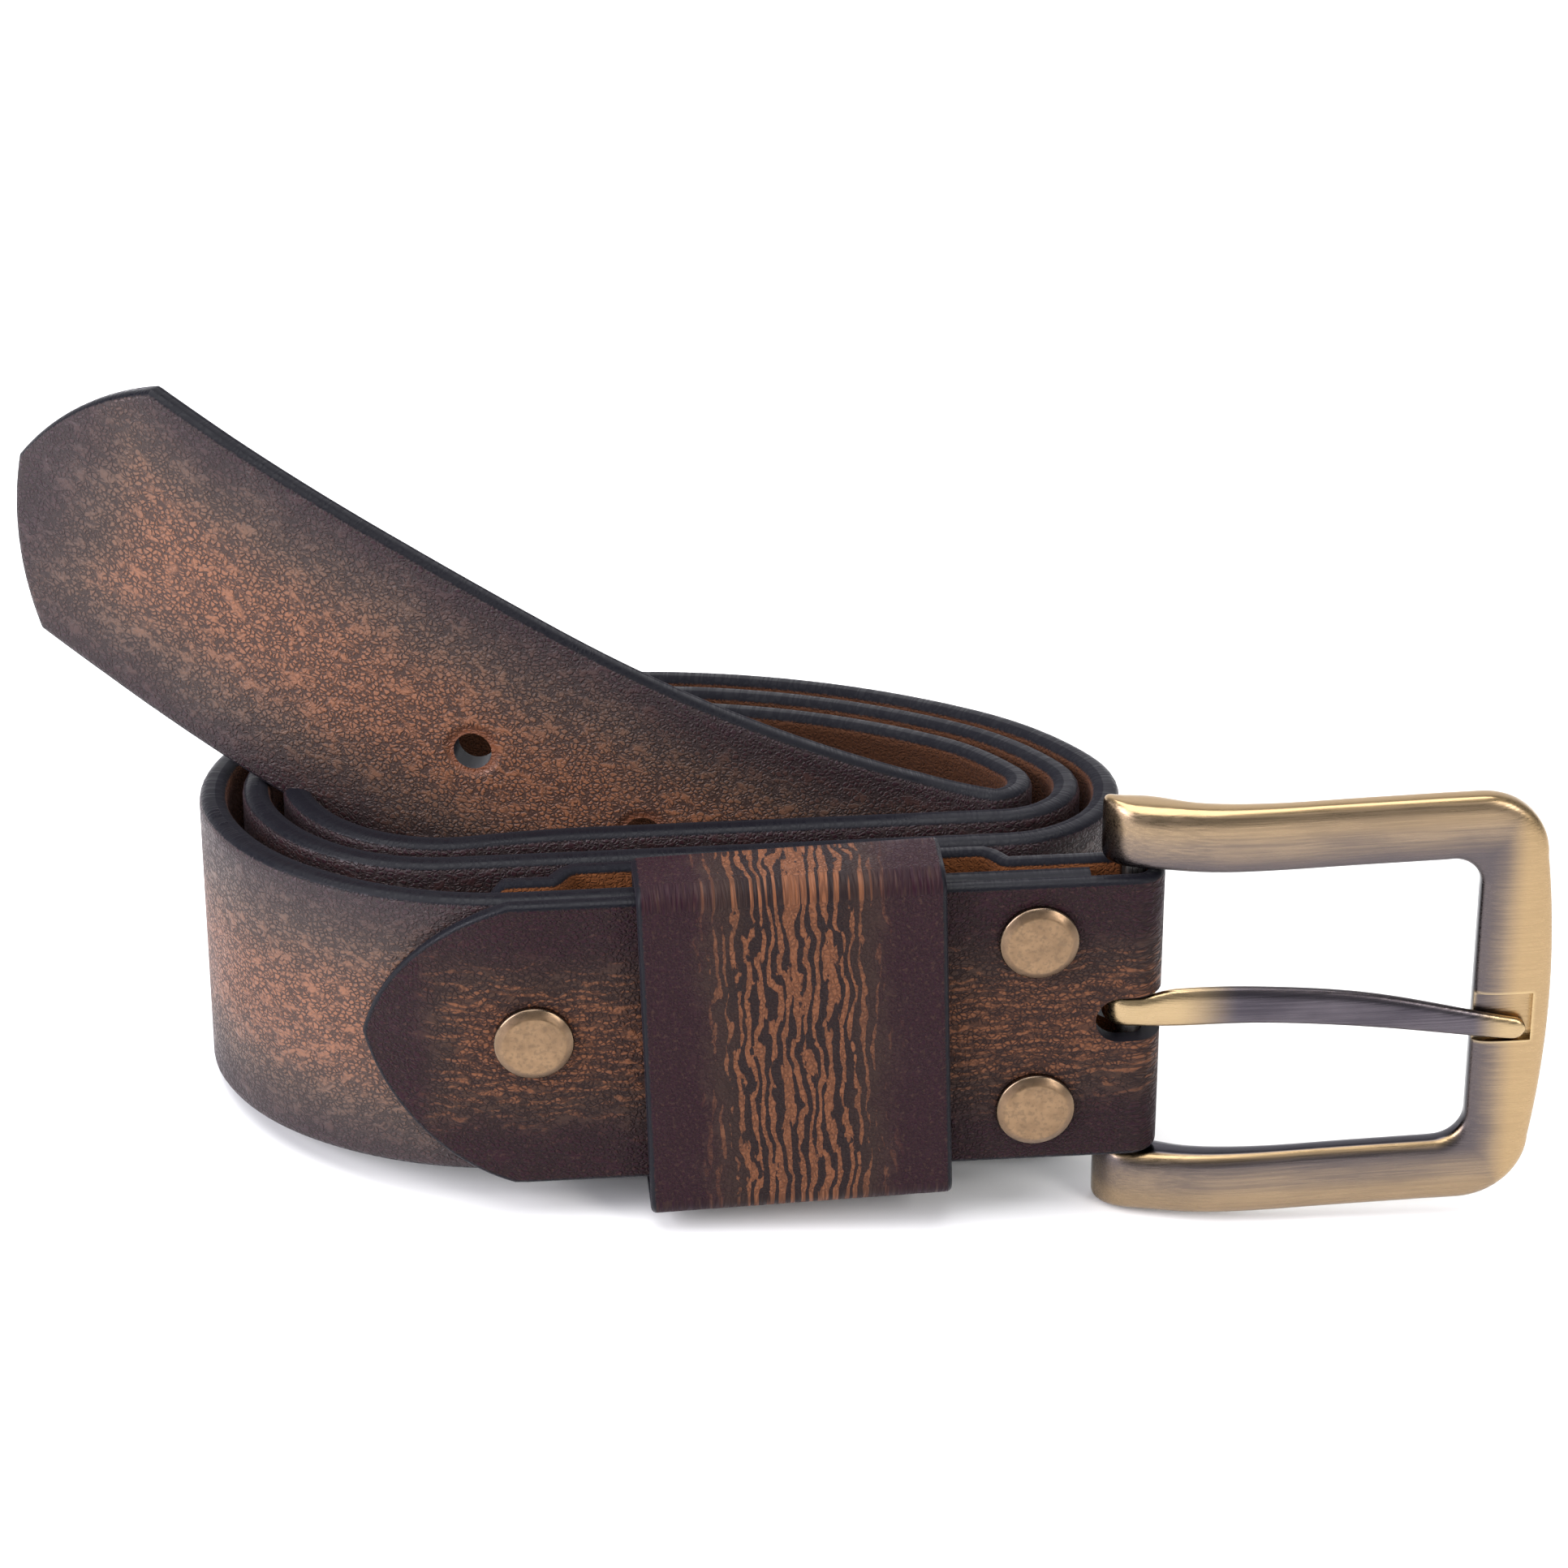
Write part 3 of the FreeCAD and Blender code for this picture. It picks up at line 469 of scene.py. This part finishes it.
def tube(name, rings, material):
    """A closed piece through rings of points, with a face over each end."""
    count = len(rings[0])
    points = [point for ring in rings for point in ring]
    faces = []
    for start in range(0, len(points) - count, count):
        for index in range(count):
            following = (index + 1) % count
            faces.append((start + index, start + following,
                          start + count + following, start + count + index))
    faces.append(tuple(range(count))[::-1])
    faces.append(tuple(range(len(points) - count, len(points))))
    return new_piece(name, points, faces, material)


def soften(piece, angle):
    """Smooth shading, but for edges sharper than an angle in degrees."""
    for polygon in piece.data.polygons:
        polygon.use_smooth = True
    piece.data.set_sharp_from_angle(angle=math.radians(angle))


def cut(piece, cutters):
    """Cut closed shapes out of a piece, and drop them. The new faces take the piece's material."""
    for cutter in cutters:
        modifier = piece.modifiers.new("cut", "BOOLEAN")
        modifier.operation = "DIFFERENCE"
        modifier.object = cutter
        modifier.solver = "EXACT"
    graph = bpy.context.evaluated_depsgraph_get()
    mesh = bpy.data.meshes.new_from_object(piece.evaluated_get(graph))
    piece.modifiers.clear()
    piece.data = mesh
    for cutter in cutters:
        bpy.data.objects.remove(cutter)


class Tip:
    """A strip's pointed end: two arcs that meet at an apex, each through a bend, to a shoulder."""

    def __init__(self, length, bend, bluntness, half_width, distance):
        self.length = length
        self.distance = distance
        across = bluntness * half_width
        back = bend * length
        apex, middle, shoulder = Vector((0, 0)), Vector((back, across)), Vector((length, half_width))
        determinant = 2 * (middle.x * shoulder.y - middle.y * shoulder.x)
        self.centre = Vector((
            (shoulder.y * middle.length_squared - middle.y * shoulder.length_squared) / determinant,
            (middle.x * shoulder.length_squared - shoulder.x * middle.length_squared) / determinant))
        self.radius = (apex - self.centre).length

    def half_width(self, frame, widest):
        back = self.distance(frame)
        if back >= self.length:
            return widest
        rise = math.sqrt(max(self.radius ** 2 - (back - self.centre.x) ** 2, 0))
        return max(self.centre.y + rise, 0)

    def rim(self, frame, across):
        """Distance inwards from the tip's arcs."""
        back = self.distance(frame)
        if back >= 2 * self.length:
            return back
        return max(self.radius - (Vector((back, abs(across))) - self.centre).length, 0)


def strip(name, frames, half_width, faces_at, rounding, material, tips=()):
    """A strip of leather swept along frames of (middle, normal, across, length).

    faces_at gives the grain and the flesh side's offsets along the normal. The Flat map holds
    the distance from the strip's start and from its middle line, in metres, and the Skin map
    the distance from the cut edge in millimetres and the side, 1 for grain and -1 for flesh.
    """
    rings, flat, skin = [], [], []
    for section in frames:
        ring = []
        middle, normal, across, length = section
        half = min([half_width] + [tip.half_width(section, half_width) for tip in tips])
        grain, flesh = faces_at(section)
        radius = min(rounding, 0.45 * (grain - flesh))
        offsets = [max(half - inset, 0) for inset in RIM_POINTS] + [0.0]
        offsets = [-offset for offset in offsets] + offsets[-2::-1]
        for side, order in ((1, offsets), (-1, offsets[::-1])):
            for offset in order:
                rim = min([half_width - abs(offset)] + [tip.rim(section, offset) for tip in tips])
                short = max(radius - rim, 0)
                sunk = radius - math.sqrt(radius ** 2 - short ** 2)
                depth = grain - sunk if side > 0 else flesh + sunk
                ring.append(middle + normal * depth + across * offset)
                flat.append((length * MM, offset * MM))
                skin.append((rim, side))
        rings.append(ring)
    piece = tube(name, rings, material)
    for label, values in (("Flat", flat), ("Skin", skin)):
        layer = piece.data.uv_layers.new(name=label)
        for loop in piece.data.loops:
            layer.data[loop.index].uv = values[loop.vertex_index]
    return piece


def circle_angles(sides):
    return [2 * math.pi * index / sides for index in range(sides)]


def lathe(name, profile, centre, material, sides=64):
    """A turned piece about a line through centre, from a profile of (radius, forward) points."""
    rings = []
    for radius, forward in profile:
        rings.append([centre + FORWARDS * forward + Vector((math.cos(angle), 0, math.sin(angle))) * radius
                      for angle in circle_angles(sides)])
    return tube(name, rings, material)


# Strap

def tangent(heading):
    return Vector((math.cos(heading), math.sin(heading), 0))


def outward(heading):
    return Vector((-math.sin(heading), math.cos(heading), 0))


def inset(arcs, distance):
    return [(length - distance * math.radians(turn), turn) for length, turn in arcs]


def coil_arcs():
    second = SECOND_LAP_WAY_IN + inset(LAP[LEAD_IN:], SECOND_LAP_INSET) + [LAP_RETURN]
    third = THIRD_LAP_WAY_IN + inset(LAP[LEAD_IN:LEAD_IN + THIRD_LAP_ARCS], THIRD_LAP_INSET)
    return LAP + [LAP_RETURN] + second + third


def along(point, heading, length, turn, distance):
    if turn == 0:
        return point + tangent(heading) * distance, heading
    radius = length / math.radians(turn)
    centre = point - outward(heading) * radius
    new_heading = heading - distance / radius
    return centre + outward(new_heading) * radius, new_heading


def climb_angle(distance):
    for (start, low), (end, high) in zip(CLIMB, CLIMB[1:]):
        if distance <= end:
            return math.radians(low + (high - low) * (distance - start) / (end - start))
    return math.radians(CLIMB[-1][1])


def strap_frames():
    """Frames along the whole strap: the flat coil, then the end that climbs out of it."""
    point = Vector((STRAP_END_X, 0, 0))
    heading = math.pi
    length = 0.0
    frames = [(point + UP * MIDDLE_Z, outward(heading), UP, 0.0)]
    for arc_length, turn in [(STRAP_END_X - RUN_END_X, 0)] + coil_arcs():
        steps = math.ceil(arc_length / STEP)
        for index in range(1, steps + 1):
            place, direction = along(point, heading, arc_length, turn, arc_length * index / steps)
            length += arc_length / steps
            frames.append((place + UP * MIDDLE_Z, outward(direction), UP, length))
        point, heading = along(point, heading, arc_length, turn, arc_length)
    height = MIDDLE_Z
    plan_length = 0.0
    whole = sum(arc_length for arc_length, turn in FREE_END)
    for arc_length, turn in FREE_END:
        steps = math.ceil(arc_length / STEP * 2)
        step = arc_length / steps
        for index in range(1, steps + 1):
            place, direction = along(point, heading, arc_length, turn, index * step)
            angle = climb_angle(plan_length + step / 2)
            plan_length += step
            height += step * math.tan(angle)
            length += step / math.cos(angle)
            rise = climb_angle(plan_length)
            roll = math.radians(END_ROLL) * (plan_length / whole) ** 2
            upright = UP * math.cos(rise) - tangent(direction) * math.sin(rise)
            across = upright * math.cos(roll) - outward(direction) * math.sin(roll)
            normal = outward(direction) * math.cos(roll) + upright * math.sin(roll)
            frames.append((place + UP * height, normal, across, length))
        point, heading = along(point, heading, arc_length, turn, arc_length)
    return frames


def frame_at(frames, length):
    for first, second in zip(frames, frames[1:]):
        if length <= second[3]:
            share = (length - first[3]) / (second[3] - first[3])
            return tuple(a + (b - a) * share for a, b in zip(first, second))
    return frames[-1]


def hole_cutter(section, material, sides=40):
    middle, normal, across = section[:3]
    beside = normal.cross(across)
    rings = []
    for depth in (-1.5, 1.5):
        rings.append([middle + normal * (depth * STRAP_THICKNESS)
                      + (across * math.cos(angle) + beside * math.sin(angle)) * HOLE_RADIUS
                      for angle in circle_angles(sides)])
    return tube("hole", rings, material)


def build_strap():
    frames = strap_frames()
    total = frames[-1][3]
    sections = [section for section in frames if section[3] < total - TIP_SECTIONS[-1] - 0.3]
    sections += [frame_at(frames, total - back) for back in reversed(TIP_SECTIONS)]
    sections = [(middle, normal, across, total - length) for middle, normal, across, length in sections]
    tip = Tip(TIP_POINT_LENGTH, TIP_BEND, TIP_BLUNTNESS, MIDDLE_Z, lambda section: section[3])
    # The strap's lighter colours are raised by 1.45: painted light, as its coil and free end stand in
    # brighter light than the tab and keeper.
    grain = leather("strap_leather", MIDDLE_Z, 0.60, tip_fade=32.0, holes=True, gloss=0.36,
                    painted_light_gain=1.45)
    piece = strip("strap_leather", sections, MIDDLE_Z, lambda section: (STRAP_HALF, -STRAP_HALF),
                  EDGE_ROUNDING, grain, [tip])
    holes = [hole_cutter(frame_at(frames, total - FIRST_HOLE_FROM_TIP - number * HOLE_PITCH), grain)
             for number in range(HOLE_COUNT)]
    cut(piece, holes)
    soften(piece, 45)
    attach(piece, "strap_and_tab")
    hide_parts("strap")


# Tab

def path_frames(points, across):
    """Frames along a path of points, whose normal is square to across and to the way it goes."""
    frames = []
    length = 0.0
    for index, point in enumerate(points):
        ahead = points[min(index + 1, len(points) - 1)] - points[max(index - 1, 0)]
        normal = ahead.cross(across).normalized()
        if index:
            length += (point - points[index - 1]).length
        frames.append((point, normal, across, length))
    return frames


def spaced(low, high, step):
    count = max(math.ceil(abs(high - low) / step), 1)
    return [low + (high - low) * index / count for index in range(count)]


def blend(share):
    return share * share * (3 - 2 * share)


def tab_path():
    """The tab's inner surface in plan, from its front point round the bar to its rear point."""
    centre = Vector((RUN_END_X, LAP[0][0] / math.radians(LAP[0][1]), MIDDLE_Z))

    def bent(x, offset):
        radius = centre.y + offset
        return Vector((x, centre.y - math.sqrt(radius ** 2 - (x - centre.x) ** 2), MIDDLE_Z))

    front_x = [TAB_POINT_X + back for back in TAB_TIP_SECTIONS]
    front_x += spaced(TAB_POINT_X + 6.5, TAB_SHOULDER_X, 1.0) + [TAB_SHOULDER_X]
    path = [bent(x, STRAP_HALF) for x in front_x]
    path += [Vector((x, -STRAP_HALF, MIDDLE_Z)) for x in spaced(RUN_END_X, 0, STEP)]
    fold_steps = 18
    for index in range(fold_steps + 1):
        angle = math.pi * (index / fold_steps - 0.5)
        path.append(Vector((STRAP_HALF * math.cos(angle), STRAP_HALF * math.sin(angle), MIDDLE_Z)))
    stand_off = KEEPER_THICKNESS + 2 * KEEPER_CLEARANCE
    for x in spaced(-1.0, RUN_END_X, 0.75):
        right = min(max((BULGE_RIGHT_X + BULGE_RAMP - x) / BULGE_RAMP, 0), 1)
        left = min(max((x - BULGE_LEFT_X + BULGE_RAMP) / BULGE_RAMP, 0), 1)
        rise = stand_off * blend(right) * blend(left)
        path.append(Vector((x, STRAP_HALF + rise, MIDDLE_Z)))
    rear_x = spaced(RUN_END_X, TAB_REAR_POINT_X + 4.5, 0.6)
    rear_x += [TAB_REAR_POINT_X + back for back in reversed(TAB_TIP_SECTIONS[:-1])]
    path += [bent(x, -STRAP_HALF) for x in rear_x]
    return path


def tab_faces(section):
    """The tab's grain and flesh offsets: its front layer is skived towards the point."""
    middle = section[0]
    share = 1.0
    if middle.y < 0 and middle.x < RUN_END_X or middle.x < TAB_REAR_POINT_X:
        share = (middle.x - TAB_POINT_X) / (RUN_END_X - TAB_POINT_X)
    return TAB_TIP_THICKNESS + (TAB_THICKNESS - TAB_TIP_THICKNESS) * max(min(share, 1), 0), 0.0


def slot_cutter(material, sides=24):
    radius = SLOT_WIDTH / 2
    middle_x = SLOT_END_X + radius
    outline = [(SLOT_REACH, -radius)]
    for index in range(sides + 1):
        angle = math.pi * (1.5 - index / sides)
        outline.append((middle_x + radius * math.cos(angle), radius * math.sin(angle)))
    outline.append((SLOT_REACH, radius))
    rings = [[Vector((x, y, MIDDLE_Z + z)) for x, z in outline] for y in (-SLOT_REACH, SLOT_REACH)]
    return tube("slot", rings, material)


def build_tab():
    half = TAB_WIDTH / 2

    def point(point_x, shoulder_x, rear):
        """The point of one layer. The other layer's sections count as far away from it."""
        def distance(section):
            return section[0].x - point_x if (section[1].y > 0.5) == rear else math.inf
        return Tip(shoulder_x - point_x, TAB_BEND, TAB_BLUNTNESS, half, distance)

    tips = [point(TAB_POINT_X, TAB_SHOULDER_X, False), point(TAB_REAR_POINT_X, TAB_REAR_SHOULDER_X, True)]
    grain = leather("tab_leather", half, 0.44, streak=0.6, streak_size=(6.0, 1.3), flesh=TAB_FLESH,
                    tip_fade=20.0)
    piece = strip("tab_leather", path_frames(tab_path(), UP), half, tab_faces, THIN_EDGE_ROUNDING,
                  grain, tips)
    cut(piece, [slot_cutter(grain)])
    soften(piece, 45)
    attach(piece, "strap_and_tab")
    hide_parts("buckle_tab")


# Keeper

def keeper_path():
    """The keeper's inner surface, round a rectangle, from its seam over the top and back to it."""
    front = -TAB_FACE - KEEPER_FRONT_CLEARANCE
    back = STRAP_HALF + KEEPER_CLEARANCE
    corner = KEEPER_CORNER - KEEPER_THICKNESS
    half = KEEPER_INNER_HEIGHT / 2
    corners = [(back, half, 0), (front, half, 90), (front, -half, 180), (back, -half, 270)]
    corner_steps = 8
    path = [(back, z) for z in spaced(KEEPER_SEAM / 2, half - corner, STEP)]
    for number, (y, z, start) in enumerate(corners):
        centre_y = y - corner if y == back else y + corner
        centre_z = z - math.copysign(corner, z)
        for index in range(corner_steps + 1):
            angle = math.radians(start + 90 * index / corner_steps)
            path.append((centre_y + corner * math.cos(angle), centre_z + corner * math.sin(angle)))
        if number == 1:
            path += [(front, z) for z in spaced(half - 2 * corner, corner - half, STEP)]
    path += [(back, z) for z in spaced(corner - half + STEP, -KEEPER_SEAM / 2, STEP)]
    path.append((back, -KEEPER_SEAM / 2))
    lean = Matrix.Rotation(math.radians(KEEPER_LEAN), 3, "Y")
    return [KEEPER_CENTRE + lean @ Vector((0, y, z)) for y, z in path], lean @ Vector((1, 0, 0))


def build_keeper():
    path, across = keeper_path()
    frames = path_frames(path, across)
    half = KEEPER_LENGTH / 2
    grain = leather("keeper_leather", half, 0.42, streak=1.0, streak_size=(9.0, 1.45), pebble=0.5)
    piece = strip("keeper_leather", frames, half, lambda section: (KEEPER_THICKNESS, 0.0),
                  THIN_EDGE_ROUNDING, grain)
    soften(piece, 60)
    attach(piece, "keeper")
    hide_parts("keeper_loop")


# Metal

def rounded(profile, radius, steps=4):
    """A profile whose inner corners are rounded off."""
    path = [Vector(point) for point in profile]
    made = [path[0]]
    for before, corner, after in zip(path, path[1:], path[2:]):
        start = corner + (before - corner).normalized() * radius
        end = corner + (after - corner).normalized() * radius
        for index in range(steps + 1):
            share = index / steps
            made.append(start * (1 - share) ** 2 + corner * 2 * share * (1 - share) + end * share ** 2)
    return made + [path[-1]]


def build_rivets():
    # The narrow facing range also paints the dark reflection on the cap's chamfer.
    cap = antique_metal("rivet_brass", rgb(0.265, 0.170, 0.098), rgb(0.16, 0.105, 0.065), (1.2, 1.2),
                        roughness=0.40, shade=0.5, speckle=0.6, wear_and_highlight_share=0.2, facing_range=(0.70, 0.97))
    rim = RIVET_HEAD_HEIGHT - RIVET_CHAMFER_SLOPE * (RIVET_HEAD_RADIUS - RIVET_FLAT_RADIUS)
    profile = [(RIVET_HEAD_RADIUS - 0.1, -0.6), (RIVET_HEAD_RADIUS, rim),
               (RIVET_FLAT_RADIUS, RIVET_HEAD_HEIGHT), (0.2, RIVET_HEAD_HEIGHT + 0.05)]
    for name, (x, z) in RIVETS.items():
        piece = lathe("rivet_cap_" + name, rounded(profile, RIVET_SOFTENING), Vector((x, -TAB_FACE, z)), cap)
        soften(piece, 50)
        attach(piece, "strap_and_tab")
        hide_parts("rivet_cap_" + name)
        dress("rivet_stud_" + name, cap)


def dress(node, material):
    """Give a CAD node's surface a finished material."""
    mesh = frame["nodes"][node].data
    for index in range(len(mesh.materials)):
        mesh.materials[index] = material
    if not mesh.materials:
        mesh.materials.append(material)


def curve_at(points, x):
    """The height at x of a smooth curve through points of (x, height)."""
    last = len(points) - 1
    index = max(number for number in range(last) if number == 0 or points[number][0] <= x)
    slopes = []
    for number in (index, index + 1):
        before, after = points[max(number - 1, 0)], points[min(number + 1, last)]
        slopes.append((after[1] - before[1]) / (after[0] - before[0]))
    (start, low), (end, high) = points[index], points[index + 1]
    width = end - start
    share = (x - start) / width
    rise = low * (1 - blend(share)) + high * blend(share)
    rise += slopes[0] * width * share * (1 - share) ** 2
    return rise - slopes[1] * width * share ** 2 * (1 - share)


def rounded_ring(centre, half_first, half_second, squareness, sides=40):
    """A ring between an ellipse and a rectangle, from its two half axes."""
    ring = []
    for index in range(sides):
        angle = 2 * math.pi * (index + 0.5) / sides
        first = math.copysign(abs(math.cos(angle)) ** squareness, math.cos(angle))
        second = math.copysign(abs(math.sin(angle)) ** squareness, math.sin(angle))
        ring.append(centre + half_first * first + half_second * second)
    return ring


def frame_pairs():
    """Inner and outer outline points of the buckle's upper half, from the bar to the middle."""
    inner_x = WINDOW_RIGHT_X - WINDOW_CORNER
    outer_x = FRAME_SHOULDER_X - FRAME_CORNER
    arm_x = [FRAME_LEFT_X + back for back in FRAME_END_SECTIONS]
    arm_x += spaced(FRAME_LEFT_X + 1.5, inner_x, 1.0)
    pairs = [((x, WINDOW_TOP), (x, FRAME_TOP)) for x in arm_x]
    corner_steps, post_steps = 16, 14
    for index in range(corner_steps + 1):
        angle = math.pi / 2 * (1 - index / corner_steps)
        across, up = math.cos(angle), math.sin(angle)
        inner = (inner_x + WINDOW_CORNER * across, WINDOW_TOP - WINDOW_CORNER + WINDOW_CORNER * up)
        outer = (outer_x + FRAME_CORNER * across, FRAME_TOP - FRAME_CORNER + FRAME_CORNER * up)
        pairs.append((inner, outer))
    for index in range(1, post_steps + 1):
        share = 1 - index / post_steps
        bow = (FRAME_RIGHT_X - FRAME_SHOULDER_X) * (1 - share ** 2)
        pairs.append(((WINDOW_RIGHT_X, (WINDOW_TOP - WINDOW_CORNER) * share),
                      (FRAME_SHOULDER_X + bow, (FRAME_TOP - FRAME_CORNER) * share)))
    return pairs


def build_frame(material):
    pairs = frame_pairs()
    pairs += [((inner[0], -inner[1]), (outer[0], -outer[1])) for inner, outer in reversed(pairs[:-1])]
    rings = []
    for inner, outer in pairs:
        x = (inner[0] + outer[0]) / 2
        front, back = curve_at(FRAME_FRONT, x), curve_at(FRAME_BACK, x)
        short = max(FRAME_END_ROUNDING - (x - FRAME_LEFT_X), 0)
        sunk = FRAME_END_ROUNDING - math.sqrt(FRAME_END_ROUNDING ** 2 - short ** 2)
        wide = Vector((outer[0] - inner[0], 0, outer[1] - inner[1])) / 2
        deep = Vector((0, back - front, 0)) / 2
        middle = Vector((x, (front + back) / 2, MIDDLE_Z + (inner[1] + outer[1]) / 2))
        wide *= 1 - sunk / wide.length
        deep *= 1 - 0.7 * sunk / deep.length
        rings.append(rounded_ring(middle, wide, deep, FRAME_SQUARENESS))
    piece = tube("buckle_frame_cast", rings, material)
    low = MIDDLE_Z - NOTCH_DROP - NOTCH_WIDTH / 2
    high = low + NOTCH_WIDTH
    floor = curve_at(FRAME_FRONT, WINDOW_RIGHT_X) + NOTCH_DEPTH
    open_side = floor - NOTCH_REACH
    corners = ((floor, low), (floor, high), (open_side, high), (open_side, low))
    notch = [[Vector((x, y, z)) for y, z in corners] for x in (WINDOW_RIGHT_X - 1, NOTCH_END_X)]
    cut(piece, [tube("notch", notch, material)])
    soften(piece, 50)
    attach(piece, "buckle")
    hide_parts("buckle_frame")


def build_prong(material):
    """A cast arm that bends round the bar: its loop shows through the tab's slot."""
    arm_x = [PRONG_TIP_X - back for back in PRONG_TIP_SECTIONS] + spaced(PRONG_TIP_X - 2.0, 0.0, 0.8)
    rings = []
    for x in arm_x:
        front, back = curve_at(PRONG_FRONT, x), curve_at(PRONG_BACK, x)
        short = max(PRONG_TIP_ROUNDING - (PRONG_TIP_X - x), 0)
        full = max(math.sqrt(PRONG_TIP_ROUNDING ** 2 - short ** 2) / PRONG_TIP_ROUNDING, 0.02)
        middle = Vector((x, (front + back) / 2, MIDDLE_Z + curve_at(PRONG_MIDDLE, x)))
        tall = UP * (curve_at(PRONG_WIDTH, x) / 2 * full)
        deep = Vector((0, (back - front) / 2 * (0.4 + 0.6 * full), 0))
        rings.append(rounded_ring(middle, tall, deep, PRONG_SQUARENESS))
    inner, outer = PRONG_EYE
    loop_steps = 28
    for index in range(loop_steps + 1):
        angle = -math.pi / 2 - math.radians(PRONG_LOOP) * index / loop_steps
        away = Vector((math.cos(angle), math.sin(angle), 0))
        middle = away * ((inner + outer) / 2) + UP * (MIDDLE_Z + PRONG_MIDDLE[0][1])
        tall = UP * (PRONG_WIDTH[0][1] / 2)
        rings.append(rounded_ring(middle, tall, away * ((inner - outer) / 2), PRONG_SQUARENESS))
    piece = tube("prong_cast", rings, material)
    soften(piece, 60)
    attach(piece, "prong")
    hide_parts("prong")


def build_buckle():
    brass = antique_metal("buckle_brass", rgb(0.24, 0.178, 0.125), rgb(0.080, 0.070, 0.078), (26.0, 0.22),
                          shade=0.5, window=(WINDOW_RIGHT_X, 0.0, WINDOW_TOP))
    build_frame(brass)
    prong = antique_metal("prong_brass", rgb(0.105, 0.092, 0.105), rgb(0.036, 0.032, 0.042), (26.0, 0.2),
                          roughness=0.27, gilded=(14.0, 44.0))
    build_prong(prong)
    steel = antique_metal("bar_steel", rgb(0.40, 0.38, 0.36), rgb(0.20, 0.19, 0.18), (0.4, 9.0))
    dress("heel_bar", steel)
    wire = antique_metal("staple_steel", rgb(0.62, 0.62, 0.64), rgb(0.40, 0.40, 0.42), (0.4, 5.0))
    dress("keeper_staples", wire)


# Studio. The camera's place and directions are in the belt's frame.

CAMERA_PLACE = Vector((-95.97, -576.93, 368.79))
CAMERA_AIM = Vector((0.07812, 0.87534, -0.47716))
CAMERA_RIGHT = Vector((0.99604, -0.08889, 0.0))
SENSOR = 36.0
LENS = 121.1


def build_camera():
    data = bpy.data.cameras.new("camera")
    data.sensor_width = SENSOR
    data.lens = LENS
    data.clip_end = 20
    camera = bpy.data.objects.new("camera", data)
    right = turned(CAMERA_RIGHT).normalized()
    back = -turned(CAMERA_AIM).normalized()
    up = back.cross(right)
    camera.matrix_world = Matrix.LocRotScale(
        placed(CAMERA_PLACE), Matrix((right, up, back)).transposed(), None)
    bpy.context.scene.collection.objects.link(camera)
    bpy.context.scene.camera = camera


def add_light(name, place, size, power, colour=(1, 1, 1)):
    """A soft rectangular light that points at the belt. Its place and size are in metres."""
    data = bpy.data.lights.new(name, "AREA")
    data.shape = "RECTANGLE"
    data.size, data.size_y = size
    data.energy = power
    data.color = colour
    light = bpy.data.objects.new(name, data)
    place = Vector(place)
    light.location = place
    light.rotation_euler = (Vector((0, 0, 0.03)) - place).to_track_quat("-Z", "Y").to_euler()
    bpy.context.scene.collection.objects.link(light)


def build_floor():
    """A pale sweep, in metres: a floor that curves up into a wall behind."""
    width, front, back, curve, top = 4.0, -2.5, 1.4, 0.8, 2.6
    curve_steps = 16
    profile = [(front, 0.0), (back - curve, 0.0)]
    for index in range(1, curve_steps + 1):
        angle = math.pi / 2 * index / curve_steps
        profile.append((back - curve + curve * math.sin(angle), curve - curve * math.cos(angle)))
    profile.append((back, top))
    points = [(x, y, z) for x in (-width, width) for y, z in profile]
    count = len(profile)
    mesh = bpy.data.meshes.new("floor")
    mesh.from_pydata(points, [], [(index, index + 1, count + index + 1, count + index)
                                  for index in range(count - 1)])
    floor = bpy.data.objects.new("floor", mesh)
    bpy.context.scene.collection.objects.link(floor)
    for polygon in mesh.polygons:
        polygon.use_smooth = True
    graph = Graph("floor_white")
    place = graph.node("TexCoord", {}, output=3)
    tone = graph.mix(graph.noise(place, 30.0), rgb(0.90, 0.90, 0.905), rgb(0.92, 0.92, 0.92))
    mesh.materials.append(graph.finish(tone, 0.8, graph.noise(place, 200.0), 0.02))


def build_studio():
    build_floor()
    world = bpy.data.worlds.new("studio")
    world.use_nodes = True
    background = world.node_tree.nodes["Background"]
    background.inputs["Color"].default_value = rgb(0.95, 0.97, 1.0)
    background.inputs["Strength"].default_value = 0.42
    bpy.context.scene.world = world
    bpy.context.scene.view_settings.view_transform = "Standard"
    add_light("top", (-0.2, 0.1, 1.3), (1.6, 1.2), 26.0)
    add_light("left", (-1.1, -0.45, 0.6), (0.7, 0.9), 21.0, (0.95, 0.93, 1.0))
    add_light("right", (0.9, -0.9, 0.8), (0.4, 0.8), 8.0, (1.0, 0.97, 0.93))


build_strap()
build_tab()
build_keeper()
build_rivets()
build_buckle()
build_camera()
build_studio()
